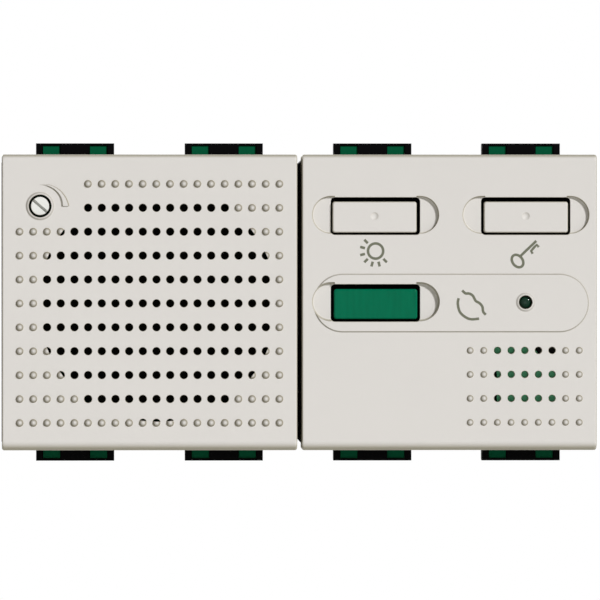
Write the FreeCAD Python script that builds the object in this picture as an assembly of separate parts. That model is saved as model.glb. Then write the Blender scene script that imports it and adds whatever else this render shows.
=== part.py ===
import FreeCAD, Part
import math
import os

# Hands-free door-entry set: a loudspeaker module and a key module, side by side.
# Millimetres. X runs along the row of modules, Z is up, and the front faces -Y.
# y = 0 is the plane of the fixing lugs' front faces, which bear on the wall frame.
# Each module is drawn about its own centre line, then set half a pitch to its side.

# Modules and their front plates
module_pitch = 45.0
plate_gap = 0.7
plate_h = 44.4
plate_front = 9.2
cover_depth = 7.9
cover_wall = 1.3
front_wall = 2.2
web = 1.2
corner_round = 0.6
top_round = 0.8
bottom_round = 1.5
side_round = 0.3

# Clearances
fit_gap = 0.15
housing_fit = 0.1
housing_side_gap = 0.15
seam_gap = 0.2
touch_gap = 0.05

# Rear housings, lugs and snap hooks
housing_depth = 17.0
housing_wall = 1.4
housing_bevel = 1.2
lug_w = 11.8
lug_rise = 1.75
lug_t = 3.2
lug_skin = 0.3
lug_bar = 1.2
hook_w = 2.57
hook_spread = 7.1
hook_inset = 0.3
hook_tip = 2.8

# Chassis
chassis_wall = 1.2
chassis_back = 3.6
bead_w = 6.0
bead_rise = 0.4
bead_t = 0.8
bead_x = 12.0
bead_from_skirt = 1.2

# Flats of round pieces: true rounds are kept where a wire plugs in or a curve shows large
ring_sides = 16
peg_sides = 8
hole_sides = 6

# Grille of the loudspeaker module
hole_d = 1.2
dot_h = 0.45
grille_cols = 20
grille_rows = 11
col_pitch = 2.05
row_pitch = 3.583
grille_z = -0.13
short_rows = 2
short_cols = 5
open_row = 4
open_reach = 11.2
open_slot_h = 1.6
pocket_r = 17.88
pocket_flat = 17.3
speaker_x = 1.2

# Loudspeaker
driver_gap = 0.2
cloth_t = 0.15
gasket_t = 0.5
gasket_w = 1.5
lip_t = 0.15
flange_t = 0.8
flange_w = 1.9
basket_depth = 5.8
basket_t = 0.8
basket_back_r = 9.4
basket_windows = 4
roll_w = 1.7
roll_h = 0.7
cone_depth = 2.7
cone_t = 0.3
coil_r = 4.15
coil_t = 0.3
coil_gap = 0.2
cap_h = 1.3
cap_seat = 0.12
magnet_r = 11.0
magnet_t = 2.7
top_plate_t = 1.0
yoke_t = 1.0
cone_travel = 0.3
tag_w = 2.6
tag_t = 0.5
lead_d = 0.7

# Loudspeaker module, inside
deck_t = 1.4
deck_y = -1.2
collar_t = 0.9
magnet_gap = 0.6
board_t = 1.6
board_gap = 0.2
speaker_board_y = 5.2
post_r = 2.2
post_inset = 2.4
moved_post_step = 8.4
screw_r = 1.0
screw_head_r = 1.9
screw_head_t = 1.2
screw_bite = 4.0

# Volume trimmer
trimmer_in = 2.89
trimmer_z = 14.47
trimmer_hole_d = 3.4
trimmer_head_d = 2.75
trimmer_head_t = 1.6
trimmer_shaft_d = 2.2
trimmer_inset = 0.1
trimmer_body_w = 5.6
trimmer_body_h = 3.6
trimmer_bite = 2.4
trimmer_run = 0.08
trimmer_slot_w = 0.32
trimmer_slot_depth = 0.5
trimmer_slot_angle = 41.0
rim_w = 0.5
rim_top = 0.15
rim_h = 0.2
guide_t = 0.8
guide_h = 2.0

# Keys
left_key_x = -11.1
right_key_x = 11.48
upper_key_z = 12.96
talk_key_z = -0.08
opening_w = 13.44
opening_h = 5.6
opening_round = 0.5
key_w = 12.64
key_h = 4.66
talk_key_w = 12.52
talk_key_h = 4.5
key_drop = 0.15
light_key_shift = -0.15
key_round = 0.35
key_edge = 0.2
key_wall = 1.0
key_travel = 0.8
key_lip = 0.8
key_lip_t = 0.8
key_lip_gap = 0.1
key_stem_w = 3.4
key_dot_d = 1.2
key_dot_depth = 0.15
guide_gap = 0.2
key_guide_t = 0.8
scoop_l = 19.0
scoop_h = 5.6
scoop_depth = 0.8
scoop_up = 0.2
platform_x = 0.26
platform_l = 41.4
platform_h = 8.8
platform_rise = 0.12

# Microphone grille and microphone
mic_hole_d = 1.06
mic_cols = 9
mic_rows = 4
mic_x = 3.11
mic_z = -7.2
mic_col_pitch = 2.05
mic_row_pitch = 3.6
mic_open_first = 2
mic_open_cols = 5
mic_open_rows = 3
mic_dot_h = 0.25
mic_margin = 0.6
pad_gap = 0.6
pad_side = 0.2
pad_upper_cols = 3
capsule_x = 15.6
capsule_z = -6.0
capsule_d = 4.2
capsule_h = 2.2
boot_wall = 0.5
boot_front = 0.8
boot_hole_d = 1.5
boot_depth = 4.4

# Status light
light_x = 11.42
light_z = 0.04
light_hole_d = 2.0
pipe_d = 1.8
pipe_gap = 0.08
pipe_dome = 0.3
pipe_flange_d = 3.4
pipe_flange_t = 0.8
lamp_w = 1.6
lamp_h = 0.8
lamp_t = 0.8
lamp_gap = 0.3

# Key module, inside
key_deck_gap = 0.4
key_deck_t = 1.2
switch_w = 6.0
switch_h = 3.4
plunger_d = 3.3
plunger_rise = 1.4
plunger_bite = 0.6
plunger_run = 0.06
switch_gap = 0.3
key_board_y = -0.4
main_board_y = 6.4
neck_r = 1.5
neck_gap = 0.1
link_header_w = 12.7
link_header_h = 2.5
link_header_inset = 3.85

# Terminal blocks, sockets and setting header
terminal_w = 10.2
terminal_h = 8.8
terminal_up = 7.35
terminal_inset = 0.3
terminal_pitch = 5.08
wire_d = 2.4
wire_depth = 7.0
clamp_d = 3.0
clamp_depth = 5.0
clamp_screw_d = 2.9
clamp_screw_t = 1.6
clamp_screw_inset = 1.0
clamp_slot_w = 0.6
clamp_slot_depth = 0.7
rear_gap = 0.25
socket_w = 8.2
socket_h = 4.6
socket_wall = 0.7
socket_in = 4.3
socket_down = 7.75
socket_inset = 1.2
socket_depth = 5.0
pin_w = 0.64
pin_pitch = 2.0
socket_pins = 3
setting_w = 14.0
setting_h = 5.0
setting_z = 3.5
setting_inset = 4.5
setting_pitch = 2.54
setting_pins = 5
setting_pin_l = 3.2
jumper_w = 2.3
jumper_h = 4.9
jumper_t = 2.6
vent_l = 12.0
vent_h = 1.4
vent_pitch = 3.0
vent_count = 5
vent_z = 6.0

# Parts on the boards
chip_w = 6.0
chip_t = 1.5
small_part_w = 3.2
small_part_h = 1.6
small_part_t = 0.9
capacitor_r = 2.8
capacitor_h = 5.5
line_coil_w = 8.5
line_coil_t = 6.0

# Places that follow from the sizes above
plate_w = module_pitch - plate_gap
front_y = -plate_front
inner_y = front_y + front_wall
pocket_y = front_y + web
skirt_y = front_y + cover_depth
chassis_x = plate_w / 2 - cover_wall - fit_gap
chassis_z = plate_h / 2 - cover_wall - fit_gap
chassis_front = inner_y + housing_fit
housing_front = skirt_y + seam_gap
housing_x = module_pitch / 2 - housing_side_gap
housing_z = chassis_z + housing_fit + housing_wall
lug_z = housing_z + lug_rise
lug_x = module_pitch / 4
driver_r = pocket_flat - driver_gap
flange_y = pocket_y + cloth_t + gasket_t + lip_t
driver_back_y = flange_y + basket_depth
top_plate_y = driver_back_y
magnet_y = top_plate_y + top_plate_t
yoke_y = magnet_y + magnet_t
board_x = chassis_x - chassis_wall - board_gap
board_z = chassis_z - chassis_wall - board_gap
post_x = board_x - post_inset
post_z = board_z - post_inset
moved_post_x = moved_post_step - post_x
trimmer_x = trimmer_in - board_x
link_header_z = board_z - link_header_inset
terminal_z = terminal_up - board_z
socket_x = board_x - socket_in
socket_z = board_z - socket_down
speaker_board_back = speaker_board_y + board_t
key_lip_y = inner_y + key_lip_gap
key_deck_y = key_lip_y + key_lip_t + key_travel + key_deck_gap
key_deck_back = key_deck_y + key_deck_t
switch_y = key_board_y - switch_h
plunger_y = switch_y - plunger_rise
main_board_back = main_board_y + board_t
housing_wall_y = housing_depth - housing_wall
mic_pocket_x0 = mic_x + mic_open_first * mic_col_pitch - mic_hole_d / 2 - mic_margin
mic_pocket_x1 = mic_x + (mic_open_first + mic_open_cols - 1) * mic_col_pitch + mic_hole_d / 2 + mic_margin
mic_pocket_z1 = mic_z + mic_hole_d / 2 + mic_margin
mic_pocket_z0 = mic_z - (mic_open_rows - 1) * mic_row_pitch - mic_hole_d / 2 - mic_margin

# The three keys: name, centre x, centre z, cap width, cap height, cap's shift in its opening
keys = [
    ("light_key", left_key_x, upper_key_z, key_w, key_h, light_key_shift),
    ("lock_key", right_key_x, upper_key_z, key_w, key_h, 0),
    ("talk_key", left_key_x, talk_key_z, talk_key_w, talk_key_h, 0),
]

os.makedirs("parts", exist_ok=True)


def block(x0, x1, y0, y1, z0, z1):
    """A box between two corners."""
    return Part.makeBox(x1 - x0, y1 - y0, z1 - z0, FreeCAD.Vector(x0, y0, z0))


def centred(cx, cz, w, h, y0, y1):
    """A box along Y, centred on a place in the front view."""
    return block(cx - w / 2, cx + w / 2, y0, y1, cz - h / 2, cz + h / 2)


def rod(cx, cz, r, y0, y1):
    """A cylinder along Y."""
    return Part.makeCylinder(r, y1 - y0, FreeCAD.Vector(cx, y0, cz), FreeCAD.Vector(0, 1, 0))


def ring_points(cx, cz, r, y, sides):
    """The corners of a regular outline round a centre, flats up and down."""
    corners = []
    for i in range(sides):
        angle = 2 * math.pi * (i + 0.5) / sides
        corners.append(FreeCAD.Vector(cx + r * math.cos(angle), y, cz + r * math.sin(angle)))
    return corners


def flat_rod(cx, cz, r, y0, y1, sides):
    """A rod along Y with flats; its corners lie on the radius."""
    corners = ring_points(cx, cz, r, y0, sides)
    face = Part.Face(Part.makePolygon(corners + corners[:1]))
    return face.extrude(FreeCAD.Vector(0, y1 - y0, 0))


def peg(cx, cz, r, y0, y1):
    """A small peg with flats, corners on its radius."""
    return flat_rod(cx, cz, r, y0, y1, peg_sides)


def bore(cx, cz, r, y0, y1, sides=peg_sides):
    """The solid that cuts a small bore with flats, which lie on its radius."""
    return flat_rod(cx, cz, r / math.cos(math.pi / sides), y0, y1, sides)


def ring(cx, cz, r_out, r_in, y0, y1):
    """A ring along Y with flats."""
    return turned([(r_out, y0), (r_out, y1), (r_in, y1), (r_in, y0)], cx, cz, ring_sides)


def edges_along(shape, axis):
    """The straight edges of a shape that run along one axis."""
    found = []
    for edge in shape.Edges:
        run = edge.Vertexes[-1].Point - edge.Vertexes[0].Point
        if run.Length > 0 and abs(run.dot(axis)) > 0.999 * run.Length:
            found.append(edge)
    return found


def rounded(cx, cz, w, h, r, y0, y1):
    """A box along Y with its four long edges rounded."""
    solid = centred(cx, cz, w, h, y0, y1)
    return solid.makeFillet(r, edges_along(solid, FreeCAD.Vector(0, 1, 0)))


def bevelled(cx, cz, w, h, bevel, y0, y1):
    """A box along Y with its four long edges bevelled."""
    solid = centred(cx, cz, w, h, y0, y1)
    return solid.makeChamfer(bevel, edges_along(solid, FreeCAD.Vector(0, 1, 0)))


def stadium(cx, cz, length, h, y0, y1):
    """A bar along Y with half-round ends."""
    half = (length - h) / 2
    bar = centred(cx, cz, 2 * half, h, y0, y1)
    ends = [rod(cx - half, cz, h / 2, y0, y1), rod(cx + half, cz, h / 2, y0, y1)]
    return bar.fuse(ends).removeSplitter()


def turned(points, cx, cz, sides):
    """A solid turned about Y in flats, from a closed profile of (radius, y) points."""
    faces = []
    for (r0, y0), (r1, y1) in zip(points, points[1:] + points[:1]):
        if r0 == 0 and r1 == 0:
            continue
        near = ring_points(cx, cz, r0, y0, sides)
        far = ring_points(cx, cz, r1, y1, sides)
        for i in range(sides):
            k = (i + 1) % sides
            corners = [near[i], near[k], far[k], far[i]]
            if r0 == 0:
                corners = corners[1:]
            if r1 == 0:
                corners = corners[:3]
            faces.append(Part.Face(Part.makePolygon(corners + corners[:1])))
    solid = Part.makeSolid(Part.makeShell(faces))
    if solid.Volume < 0:
        solid.reverse()
    return solid


def hole_reach(d):
    """Corner radius of a grille hole with the area of a round one."""
    return d / 2 * math.sqrt(2 * math.pi / hole_sides / math.sin(2 * math.pi / hole_sides))


def hole_prism(cx, cz, d, y0, y1):
    """The solid that cuts one hole of a grille."""
    return flat_rod(cx, cz, hole_reach(d), y0, y1, hole_sides)


def dot(cx, cz, d, height):
    """One raised dot with sloped sides, which continues the pattern of a grille."""
    profile = [(0, front_y), (hole_reach(d), front_y), (0, front_y - height)]
    return turned(profile, cx, cz, hole_sides).removeSplitter()


def place(shape, side):
    """Set a module's piece half a pitch to the left (-1) or right (+1)."""
    moved = shape.copy()
    moved.translate(FreeCAD.Vector(side * module_pitch / 2, 0, 0))
    return moved


def save(name, shape):
    """Write one node."""
    shape.exportStep("parts/" + name + ".step")


# Shared forms of the two modules


def plate_blank():
    """A plate's outside: the round of its top and bottom edges, its sides and its corners."""
    half = plate_h / 2
    top_k = top_round * (1 - math.sqrt(0.5))
    bottom_k = bottom_round * (1 - math.sqrt(0.5))
    v = FreeCAD.Vector
    top_arc = Part.Arc(
        v(0, front_y, half - top_round),
        v(0, front_y + top_k, half - top_k),
        v(0, front_y + top_round, half),
    )
    bottom_arc = Part.Arc(
        v(0, front_y + bottom_round, -half),
        v(0, front_y + bottom_k, -half + bottom_k),
        v(0, front_y, -half + bottom_round),
    )
    edges = [
        Part.LineSegment(v(0, front_y, -half + bottom_round), v(0, front_y, half - top_round)),
        top_arc,
        Part.LineSegment(v(0, front_y + top_round, half), v(0, skirt_y, half)),
        Part.LineSegment(v(0, skirt_y, half), v(0, skirt_y, -half)),
        Part.LineSegment(v(0, skirt_y, -half), v(0, front_y + bottom_round, -half)),
        bottom_arc,
    ]
    profile = Part.Face(Part.Wire([edge.toShape() for edge in edges]))
    bar = profile.extrude(v(plate_w, 0, 0))
    bar.translate(v(-plate_w / 2, 0, 0))
    sides = block(-plate_w / 2, plate_w / 2, front_y, skirt_y, -half, half)
    front_edges = []
    for edge in edges_along(sides, v(0, 0, 1)):
        if abs(edge.Vertexes[0].Point.y - front_y) < 0.001:
            front_edges.append(edge)
    sides = sides.makeFillet(side_round, front_edges)
    corners = rounded(0, 0, plate_w, plate_h, corner_round, front_y, skirt_y)
    return bar.common(sides).common(corners)


def cover_shell():
    """A plate hollowed from behind, with the four beads that hold it on its chassis."""
    inside_w = plate_w - 2 * cover_wall
    inside_h = plate_h - 2 * cover_wall
    shell = plate_blank().cut(centred(0, 0, inside_w, inside_h, inner_y, skirt_y))
    y1 = skirt_y - bead_from_skirt
    beads = []
    for side_x in (-1, 1):
        for side_z in (-1, 1):
            bead = wedge_bead(side_x * bead_x, side_z, inside_h / 2, y1)
            beads.append(bead)
    return shell.fuse(beads).removeSplitter()


def wedge_bead(cx, side_z, wall_z, y1):
    """A bead with a sloped back, on the inner face of a cover's top or bottom wall."""
    root = side_z * (wall_z + housing_fit)
    crest = side_z * (wall_z - bead_rise)
    start = side_z * wall_z
    v = FreeCAD.Vector
    x0 = cx - bead_w / 2
    points = [v(x0, y1 - bead_t, root), v(x0, y1 - bead_t, crest), v(x0, y1, start), v(x0, y1, root)]
    face = Part.Face(Part.makePolygon(points + points[:1]))
    return face.extrude(v(bead_w, 0, 0))


def chassis_frame():
    """The chassis's four walls, with the grooves for the beads and the eight snap hooks."""
    outside = centred(0, 0, 2 * chassis_x, 2 * chassis_z, chassis_front, chassis_back)
    inside_w = 2 * (chassis_x - chassis_wall)
    inside_h = 2 * (chassis_z - chassis_wall)
    frame = outside.cut(centred(0, 0, inside_w, inside_h, chassis_front, chassis_back))
    y1 = skirt_y - bead_from_skirt
    grooves = []
    for side_x in (-1, 1):
        for side_z in (-1, 1):
            crest = chassis_z - bead_rise
            outer = chassis_z + 1
            z0, z1 = sorted((side_z * crest, side_z * outer))
            x0 = side_x * bead_x - bead_w / 2 - fit_gap
            grooves.append(block(x0, x0 + bead_w + 2 * fit_gap, y1 - bead_t - fit_gap, y1, z0, z1))
    frame = frame.cut(Part.makeCompound(grooves))
    hooks = []
    for cx in hook_places():
        for side_z in (-1, 1):
            hooks.append(snap_hook(cx, side_z))
    return frame.fuse(hooks).removeSplitter()


def hook_places():
    """Centres of the hooks along a module's top or bottom edge."""
    centres = []
    for lug in (-lug_x, lug_x):
        centres.append(lug - hook_spread / 2)
        centres.append(lug + hook_spread / 2)
    return centres


def snap_hook(cx, side_z):
    """One hook: it passes under the lug's bar, and its nose stands up behind the bar."""
    under = lug_z - lug_skin - housing_fit
    root = chassis_z - chassis_wall / 2
    nose_y = lug_bar + housing_fit
    ramp_y = (nose_y + hook_tip) / 2
    tip_z = under - lug_skin
    outline = [
        (hook_inset, root),
        (hook_inset, under),
        (nose_y, under),
        (nose_y, lug_z),
        (ramp_y, lug_z),
        (hook_tip, tip_z),
        (hook_tip, root),
    ]
    corners = [FreeCAD.Vector(cx - hook_w / 2, y, side_z * z) for y, z in outline]
    face = Part.Face(Part.makePolygon(corners + corners[:1]))
    return face.extrude(FreeCAD.Vector(hook_w, 0, 0))


def housing_shell():
    """A rear housing: a bevelled box open to the front, with its lugs and their windows."""
    box = bevelled(0, 0, 2 * housing_x, 2 * housing_z, housing_bevel, housing_front, housing_depth)
    rear = [edge for edge in box.Edges if edge.BoundBox.YMin > housing_depth - 0.001]
    box = box.makeChamfer(housing_bevel / 2, rear)
    inside_w = 2 * (housing_x - housing_wall)
    inside_h = 2 * (chassis_z + housing_fit)
    box = box.cut(centred(0, 0, inside_w, inside_h, housing_front, housing_wall_y))
    lugs = []
    for cx in (-lug_x, lug_x):
        for side_z in (-1, 1):
            lugs.append(fixing_lug(cx, side_z))
    box = box.fuse(lugs).removeSplitter()
    windows = []
    for cx in hook_places():
        for side_z in (-1, 1):
            windows.append(hook_window(cx, side_z))
    return box.cut(Part.makeCompound(windows))


def fixing_lug(cx, side_z):
    """One lug: a block on the housing's wall with a slope at its back."""
    root = housing_z - housing_wall / 2
    slope = lug_t - hook_tip
    outline = [(0, root), (0, lug_z), (lug_t - slope, lug_z), (lug_t, lug_z - slope), (lug_t, root)]
    corners = [FreeCAD.Vector(cx - lug_w / 2, y, side_z * z) for y, z in outline]
    face = Part.Face(Part.makePolygon(corners + corners[:1]))
    return face.extrude(FreeCAD.Vector(lug_w, 0, 0))


def hook_window(cx, side_z):
    """The way of one hook: in from the housing's front edge, under the bar, and out behind it."""
    w = hook_w + 2 * housing_fit
    inner = chassis_z - housing_fit
    under = lug_z - lug_skin
    end = hook_tip + housing_fit
    under_bar = (side_z * inner, side_z * under)
    behind_bar = (side_z * inner, side_z * (lug_z + 1))
    way = block(cx - w / 2, cx + w / 2, housing_front - 1, end, min(under_bar), max(under_bar))
    nose = block(cx - w / 2, cx + w / 2, lug_bar, end, min(behind_bar), max(behind_bar))
    return way.fuse(nose)


def board(holes, hole_r, y):
    """A circuit board with round holes for its posts or screws."""
    sheet = centred(0, 0, 2 * board_x, 2 * board_z, y, y + board_t)
    bores = [bore(x, z, hole_r, y, y + board_t) for x, z in holes]
    return sheet.cut(Part.makeCompound(bores))


def chip(share_x, share_z, y):
    """A chip, placed by its shares of the board's half width and half height."""
    return centred(share_x * board_x, share_z * board_z, chip_w, chip_w, y, y + chip_t)


def small_part(share_x, share_z, y):
    """A small two-ended part, placed as a chip is."""
    return centred(share_x * board_x, share_z * board_z, small_part_w, small_part_h, y, y + small_part_t)


def capacitor(share_x, share_z, y):
    """An upright capacitor, placed as a chip is."""
    return peg(share_x * board_x, share_z * board_z, capacitor_r, y, y + capacitor_h)


def board_screw(cx, cz, seat_y):
    """A pan-head screw, put in from behind."""
    head = peg(cx, cz, screw_head_r, seat_y, seat_y + screw_head_t)
    shank = peg(cx, cz, screw_r, seat_y - screw_bite, seat_y)
    slot = centred(cx, cz, 2 * screw_head_r, screw_r / 2, seat_y + screw_head_t / 2, seat_y + screw_head_t)
    return head.fuse(shank).cut(slot)


def terminal_block(board_back):
    """Two poles: a wire entry and, above it, the clamp screw's well for each."""
    y1 = housing_depth - terminal_inset
    body = centred(0, terminal_z, terminal_w, terminal_h, board_back, y1)
    cuts = []
    for cx in pole_places():
        cuts.append(rod(cx, wire_z(), wire_d / 2, y1 - wire_depth, y1))
        cuts.append(bore(cx, clamp_z(), clamp_d / 2, y1 - clamp_depth, y1))
    return body.cut(Part.makeCompound(cuts))


def pole_places():
    """Centres of the two poles of a terminal block."""
    return (-terminal_pitch / 2, terminal_pitch / 2)


def wire_z():
    """Height of the wire entries."""
    return terminal_z - terminal_h / 4


def clamp_z():
    """Height of the clamp screws."""
    return terminal_z + terminal_h / 4


def terminal_screws():
    """The two clamp screws in the wells of a terminal block."""
    y1 = housing_depth - terminal_inset - clamp_screw_inset
    y0 = housing_depth - terminal_inset - clamp_depth
    screws = []
    for cx in pole_places():
        shank = peg(cx, clamp_z(), clamp_screw_d / 4, y0, y1 - clamp_screw_t)
        head = peg(cx, clamp_z(), clamp_screw_d / 2, y1 - clamp_screw_t, y1)
        slot_y = y1 - clamp_slot_depth
        slot = centred(cx, clamp_z(), clamp_screw_d, clamp_slot_w, slot_y, y1)
        screws.append(head.fuse(shank).cut(slot))
    return Part.makeCompound(screws)


def link_socket(cx, board_back):
    """A shrouded socket with two rows of pins, for the lead between the modules."""
    y1 = housing_depth - socket_inset
    body = centred(cx, socket_z, socket_w, socket_h, board_back, y1)
    inside_w = socket_w - 2 * socket_wall
    inside_h = socket_h - 2 * socket_wall
    body = body.cut(centred(cx, socket_z, inside_w, inside_h, y1 - socket_depth, y1))
    pins = []
    for column in range(socket_pins):
        x = cx + (column - (socket_pins - 1) / 2) * pin_pitch
        for side in (-0.5, 0.5):
            z = socket_z + side * pin_pitch
            pins.append(centred(x, z, pin_w, pin_w, y1 - socket_depth, y1 - socket_wall))
    return body.fuse(pins).removeSplitter()


def rear_opening(cx, cz, w, h):
    """The cut in a housing's rear wall for a piece that is reached from behind."""
    return centred(cx, cz, w + 2 * rear_gap, h + 2 * rear_gap, housing_wall_y - 1, housing_depth + 1)


# Loudspeaker module


def grille_places():
    """Centres of the grille's holes and dots; the trimmer takes the start of the top rows."""
    places = []
    for row in range(grille_rows):
        first = short_cols if row < short_rows else 0
        for col in range(first, grille_cols):
            x = (col - (grille_cols - 1) / 2) * col_pitch
            z = grille_z + ((grille_rows - 1) / 2 - row) * row_pitch
            places.append((x, z))
    return places


def pocket_outline(r, half, y0, y1):
    """A disc behind the grille, cut flat on its four sides."""
    disc = flat_rod(speaker_x, grille_z, r, y0, y1, 2 * ring_sides)
    return disc.common(centred(speaker_x, grille_z, 2 * half, 2 * half, y0, y1))


def pocket_region(y0, y1):
    """The pocket behind the grille, and the slots that open two rows further out."""
    pocket = pocket_outline(pocket_r, pocket_flat, y0, y1)
    slots = []
    for side in (-1, 1):
        z = grille_z + side * open_row * row_pitch
        slots.append(centred(speaker_x, z, 2 * open_reach, open_slot_h, y0, y1))
    return pocket.fuse(slots).removeSplitter()


def reach(x, z):
    """How far a place of the grille lies outside the pocket's edge, or inside where negative."""
    dx = x - speaker_x
    dz = z - grille_z
    return max(math.hypot(dx, dz) - pocket_r, abs(dx) - pocket_flat, abs(dz) - pocket_flat)


def is_open(x, z):
    """Whether a hole of the grille lies wholly over the pocket."""
    in_slot = abs(abs(z - grille_z) - open_row * row_pitch) < open_slot_h / 2
    return reach(x, z) < -hole_d / 2 or (in_slot and abs(x - speaker_x) < open_reach)


def is_blind(x, z):
    """Whether a place of the grille lies wholly outside the pocket."""
    return reach(x, z) > hole_d / 2 and not is_open(x, z)


def hole_rim(cx, cz, hole_r, face_y):
    """The raised rim round a hole, with its outer side sloped."""
    top = face_y - rim_h
    profile = [(0, face_y), (0, top), (hole_r + rim_top, top), (hole_r + rim_w, face_y)]
    return turned(profile, cx, cz, ring_sides)


def speaker_cover():
    """The grille: holes over the pocket, raised dots outside it, and part of each at its edge."""
    shell = cover_shell().cut(pocket_region(pocket_y, inner_y))
    dots = [hole_rim(trimmer_x, trimmer_z, trimmer_hole_d / 2, front_y)]
    holes = []
    edge_holes = []
    for x, z in grille_places():
        if not is_open(x, z):
            dots.append(dot(x, z, hole_d, dot_h))
        if is_open(x, z):
            holes.append(hole_prism(x, z, hole_d, front_y - 1, inner_y))
        elif not is_blind(x, z):
            edge_holes.append(hole_prism(x, z, hole_d, front_y - 1, inner_y))
    shell = shell.fuse(dots)
    region = pocket_region(front_y - 1, inner_y)
    holes += [prism.common(region) for prism in edge_holes]
    holes.append(bore(trimmer_x, trimmer_z, trimmer_hole_d / 2, front_y - 1, inner_y + 1, ring_sides))
    return shell.cut(Part.makeCompound(holes))


def speaker_posts():
    """Places of the posts that carry the loudspeaker module's board."""
    return [(post_x, post_z), (post_x, -post_z), (-post_x, -post_z), (moved_post_x, post_z)]


def screwed_posts():
    """The posts whose ends take a screw; the rest only bear the board."""
    return speaker_posts()[:3]


def speaker_chassis():
    """Walls, a deck round the magnet, the collar that holds the driver, posts and shaft guide."""
    frame = chassis_frame()
    deck_back = deck_y + deck_t
    deck = centred(0, 0, 2 * chassis_x - chassis_wall, 2 * chassis_z - chassis_wall, deck_y, deck_back)
    collar_y = flange_y + flange_t
    collar = flat_rod(speaker_x, grille_z, driver_r, collar_y, deck_y, ring_sides)
    inside = flat_rod(speaker_x, grille_z, driver_r - collar_t, collar_y, deck_y, ring_sides)
    guide_r = trimmer_shaft_d / 2 + fit_gap + guide_t
    guide = peg(trimmer_x, trimmer_z, guide_r, deck_y - guide_h, deck_y)
    posts = [peg(x, z, post_r, deck_back, speaker_board_y) for x, z in speaker_posts()]
    solid = frame.fuse([deck, collar, guide] + posts).removeSplitter()
    cuts = [
        inside,
        flat_rod(speaker_x, grille_z, magnet_r + magnet_gap, deck_y - 1, deck_back + 1, ring_sides),
        bore(trimmer_x, trimmer_z, trimmer_shaft_d / 2 + fit_gap, deck_y - guide_h - 1, deck_back + 1),
    ]
    cuts += [lead_way(cx) for cx in lead_places()]
    screw_y = speaker_board_back - screw_bite - fit_gap
    cuts += [bore(x, z, screw_r, screw_y, speaker_board_y) for x, z in screwed_posts()]
    return solid.cut(Part.makeCompound(cuts))


def lead_places():
    """The loudspeaker's two solder tags lie side by side below its magnet."""
    return (speaker_x - tag_w, speaker_x + tag_w)


def tag_z():
    """Height of the loudspeaker's solder tags."""
    return grille_z - magnet_r - magnet_gap - tag_w / 2


def lead_way(cx):
    """The notch in the deck for one lead."""
    return centred(cx, tag_z(), lead_d + 1, lead_d + 1, deck_y - 1, deck_y + deck_t + 1)


def basket():
    """The driver's frame: a flange, a slanted wall with windows, a back ring and two tags."""
    flange_back = flange_y + flange_t
    seat_y = driver_back_y - basket_t
    inner = driver_r - flange_w
    profile = [
        (driver_r, flange_y),
        (driver_r, flange_back),
        (inner + basket_t, flange_back),
        (basket_back_r + basket_t, seat_y),
        (magnet_r, seat_y),
        (magnet_r, driver_back_y),
        (coil_r + coil_t + coil_gap, driver_back_y),
        (coil_r + coil_t + coil_gap, seat_y),
        (basket_back_r, seat_y),
        (inner, flange_back),
        (inner, flange_y),
    ]
    frame = turned(profile, speaker_x, grille_z, ring_sides)
    windows = []
    for i in range(basket_windows):
        window = block(basket_back_r, inner, flange_back, seat_y, -basket_back_r / 2, basket_back_r / 2)
        window.rotate(FreeCAD.Vector(0, 0, 0), FreeCAD.Vector(0, 1, 0), 45 + 360 * i / basket_windows)
        window.translate(FreeCAD.Vector(speaker_x, 0, grille_z))
        windows.append(window)
    frame = frame.cut(Part.makeCompound(windows))
    tags = []
    for cx in lead_places():
        top = grille_z - basket_back_r
        foot = tag_z() - tag_w / 2
        tags.append(block(cx - tag_w / 3, cx + tag_w / 3, seat_y - tag_t, seat_y, foot, top))
    return frame.fuse(tags).removeSplitter()


def speaker_leads():
    """Two straight leads from the driver's tags to the board."""
    y0 = driver_back_y - basket_t
    return Part.makeCompound([peg(cx, tag_z(), lead_d / 2, y0, speaker_board_y) for cx in lead_places()])


def surround():
    """The soft ring between cone and flange: lip, roll and inner edge."""
    lip_r = driver_r - flange_w + cone_t
    roll_out = lip_r - cone_t
    roll_in = roll_out - roll_w
    inner = roll_in - cone_t * 2
    back = flange_y
    front = flange_y - lip_t
    profile = [
        (driver_r, front),
        (driver_r, back),
        (roll_out, back),
        (roll_out - roll_w / 4, back + roll_h),
        (roll_in + roll_w / 4, back + roll_h),
        (roll_in, back),
        (inner, back),
        (inner, front),
        (roll_in + lip_t, front),
        (roll_in + roll_w / 4 + lip_t / 2, back + roll_h - lip_t),
        (roll_out - roll_w / 4 - lip_t / 2, back + roll_h - lip_t),
        (roll_out - lip_t, front),
    ]
    return turned(profile, speaker_x, grille_z, ring_sides)


def cone():
    """The paper cone, from the surround's inner edge back to the voice coil."""
    outer = driver_r - flange_w - roll_w
    neck_y = flange_y + cone_depth
    profile = [
        (outer, flange_y),
        (outer, flange_y + cone_t),
        (coil_r + coil_t, neck_y + cone_t),
        (coil_r, neck_y + cone_t),
        (coil_r, neck_y),
        (outer - cone_t, flange_y),
    ]
    return turned(profile, speaker_x, grille_z, ring_sides)


def dust_cap():
    """The domed cap over the voice coil, inside the cone."""
    base_r = coil_r + coil_t
    base_y = flange_y + cone_depth - cap_seat
    profile = [(0, base_y - cap_h), (base_r * 0.6, base_y - cap_h * 0.72), (base_r, base_y), (0, base_y)]
    return turned(profile, speaker_x, grille_z, ring_sides)


def voice_coil():
    """The coil on its former, from the cone's neck into the magnet's gap."""
    neck_y = flange_y + cone_depth + cone_t
    return ring(speaker_x, grille_z, coil_r + coil_t / 2, coil_r - coil_t / 2, neck_y, magnet_y - cone_travel)


def top_plate():
    """The steel washer in front of the magnet."""
    inside = coil_r + coil_t / 2 + coil_gap
    return ring(speaker_x, grille_z, magnet_r - basket_t, inside, top_plate_y, magnet_y)


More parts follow.
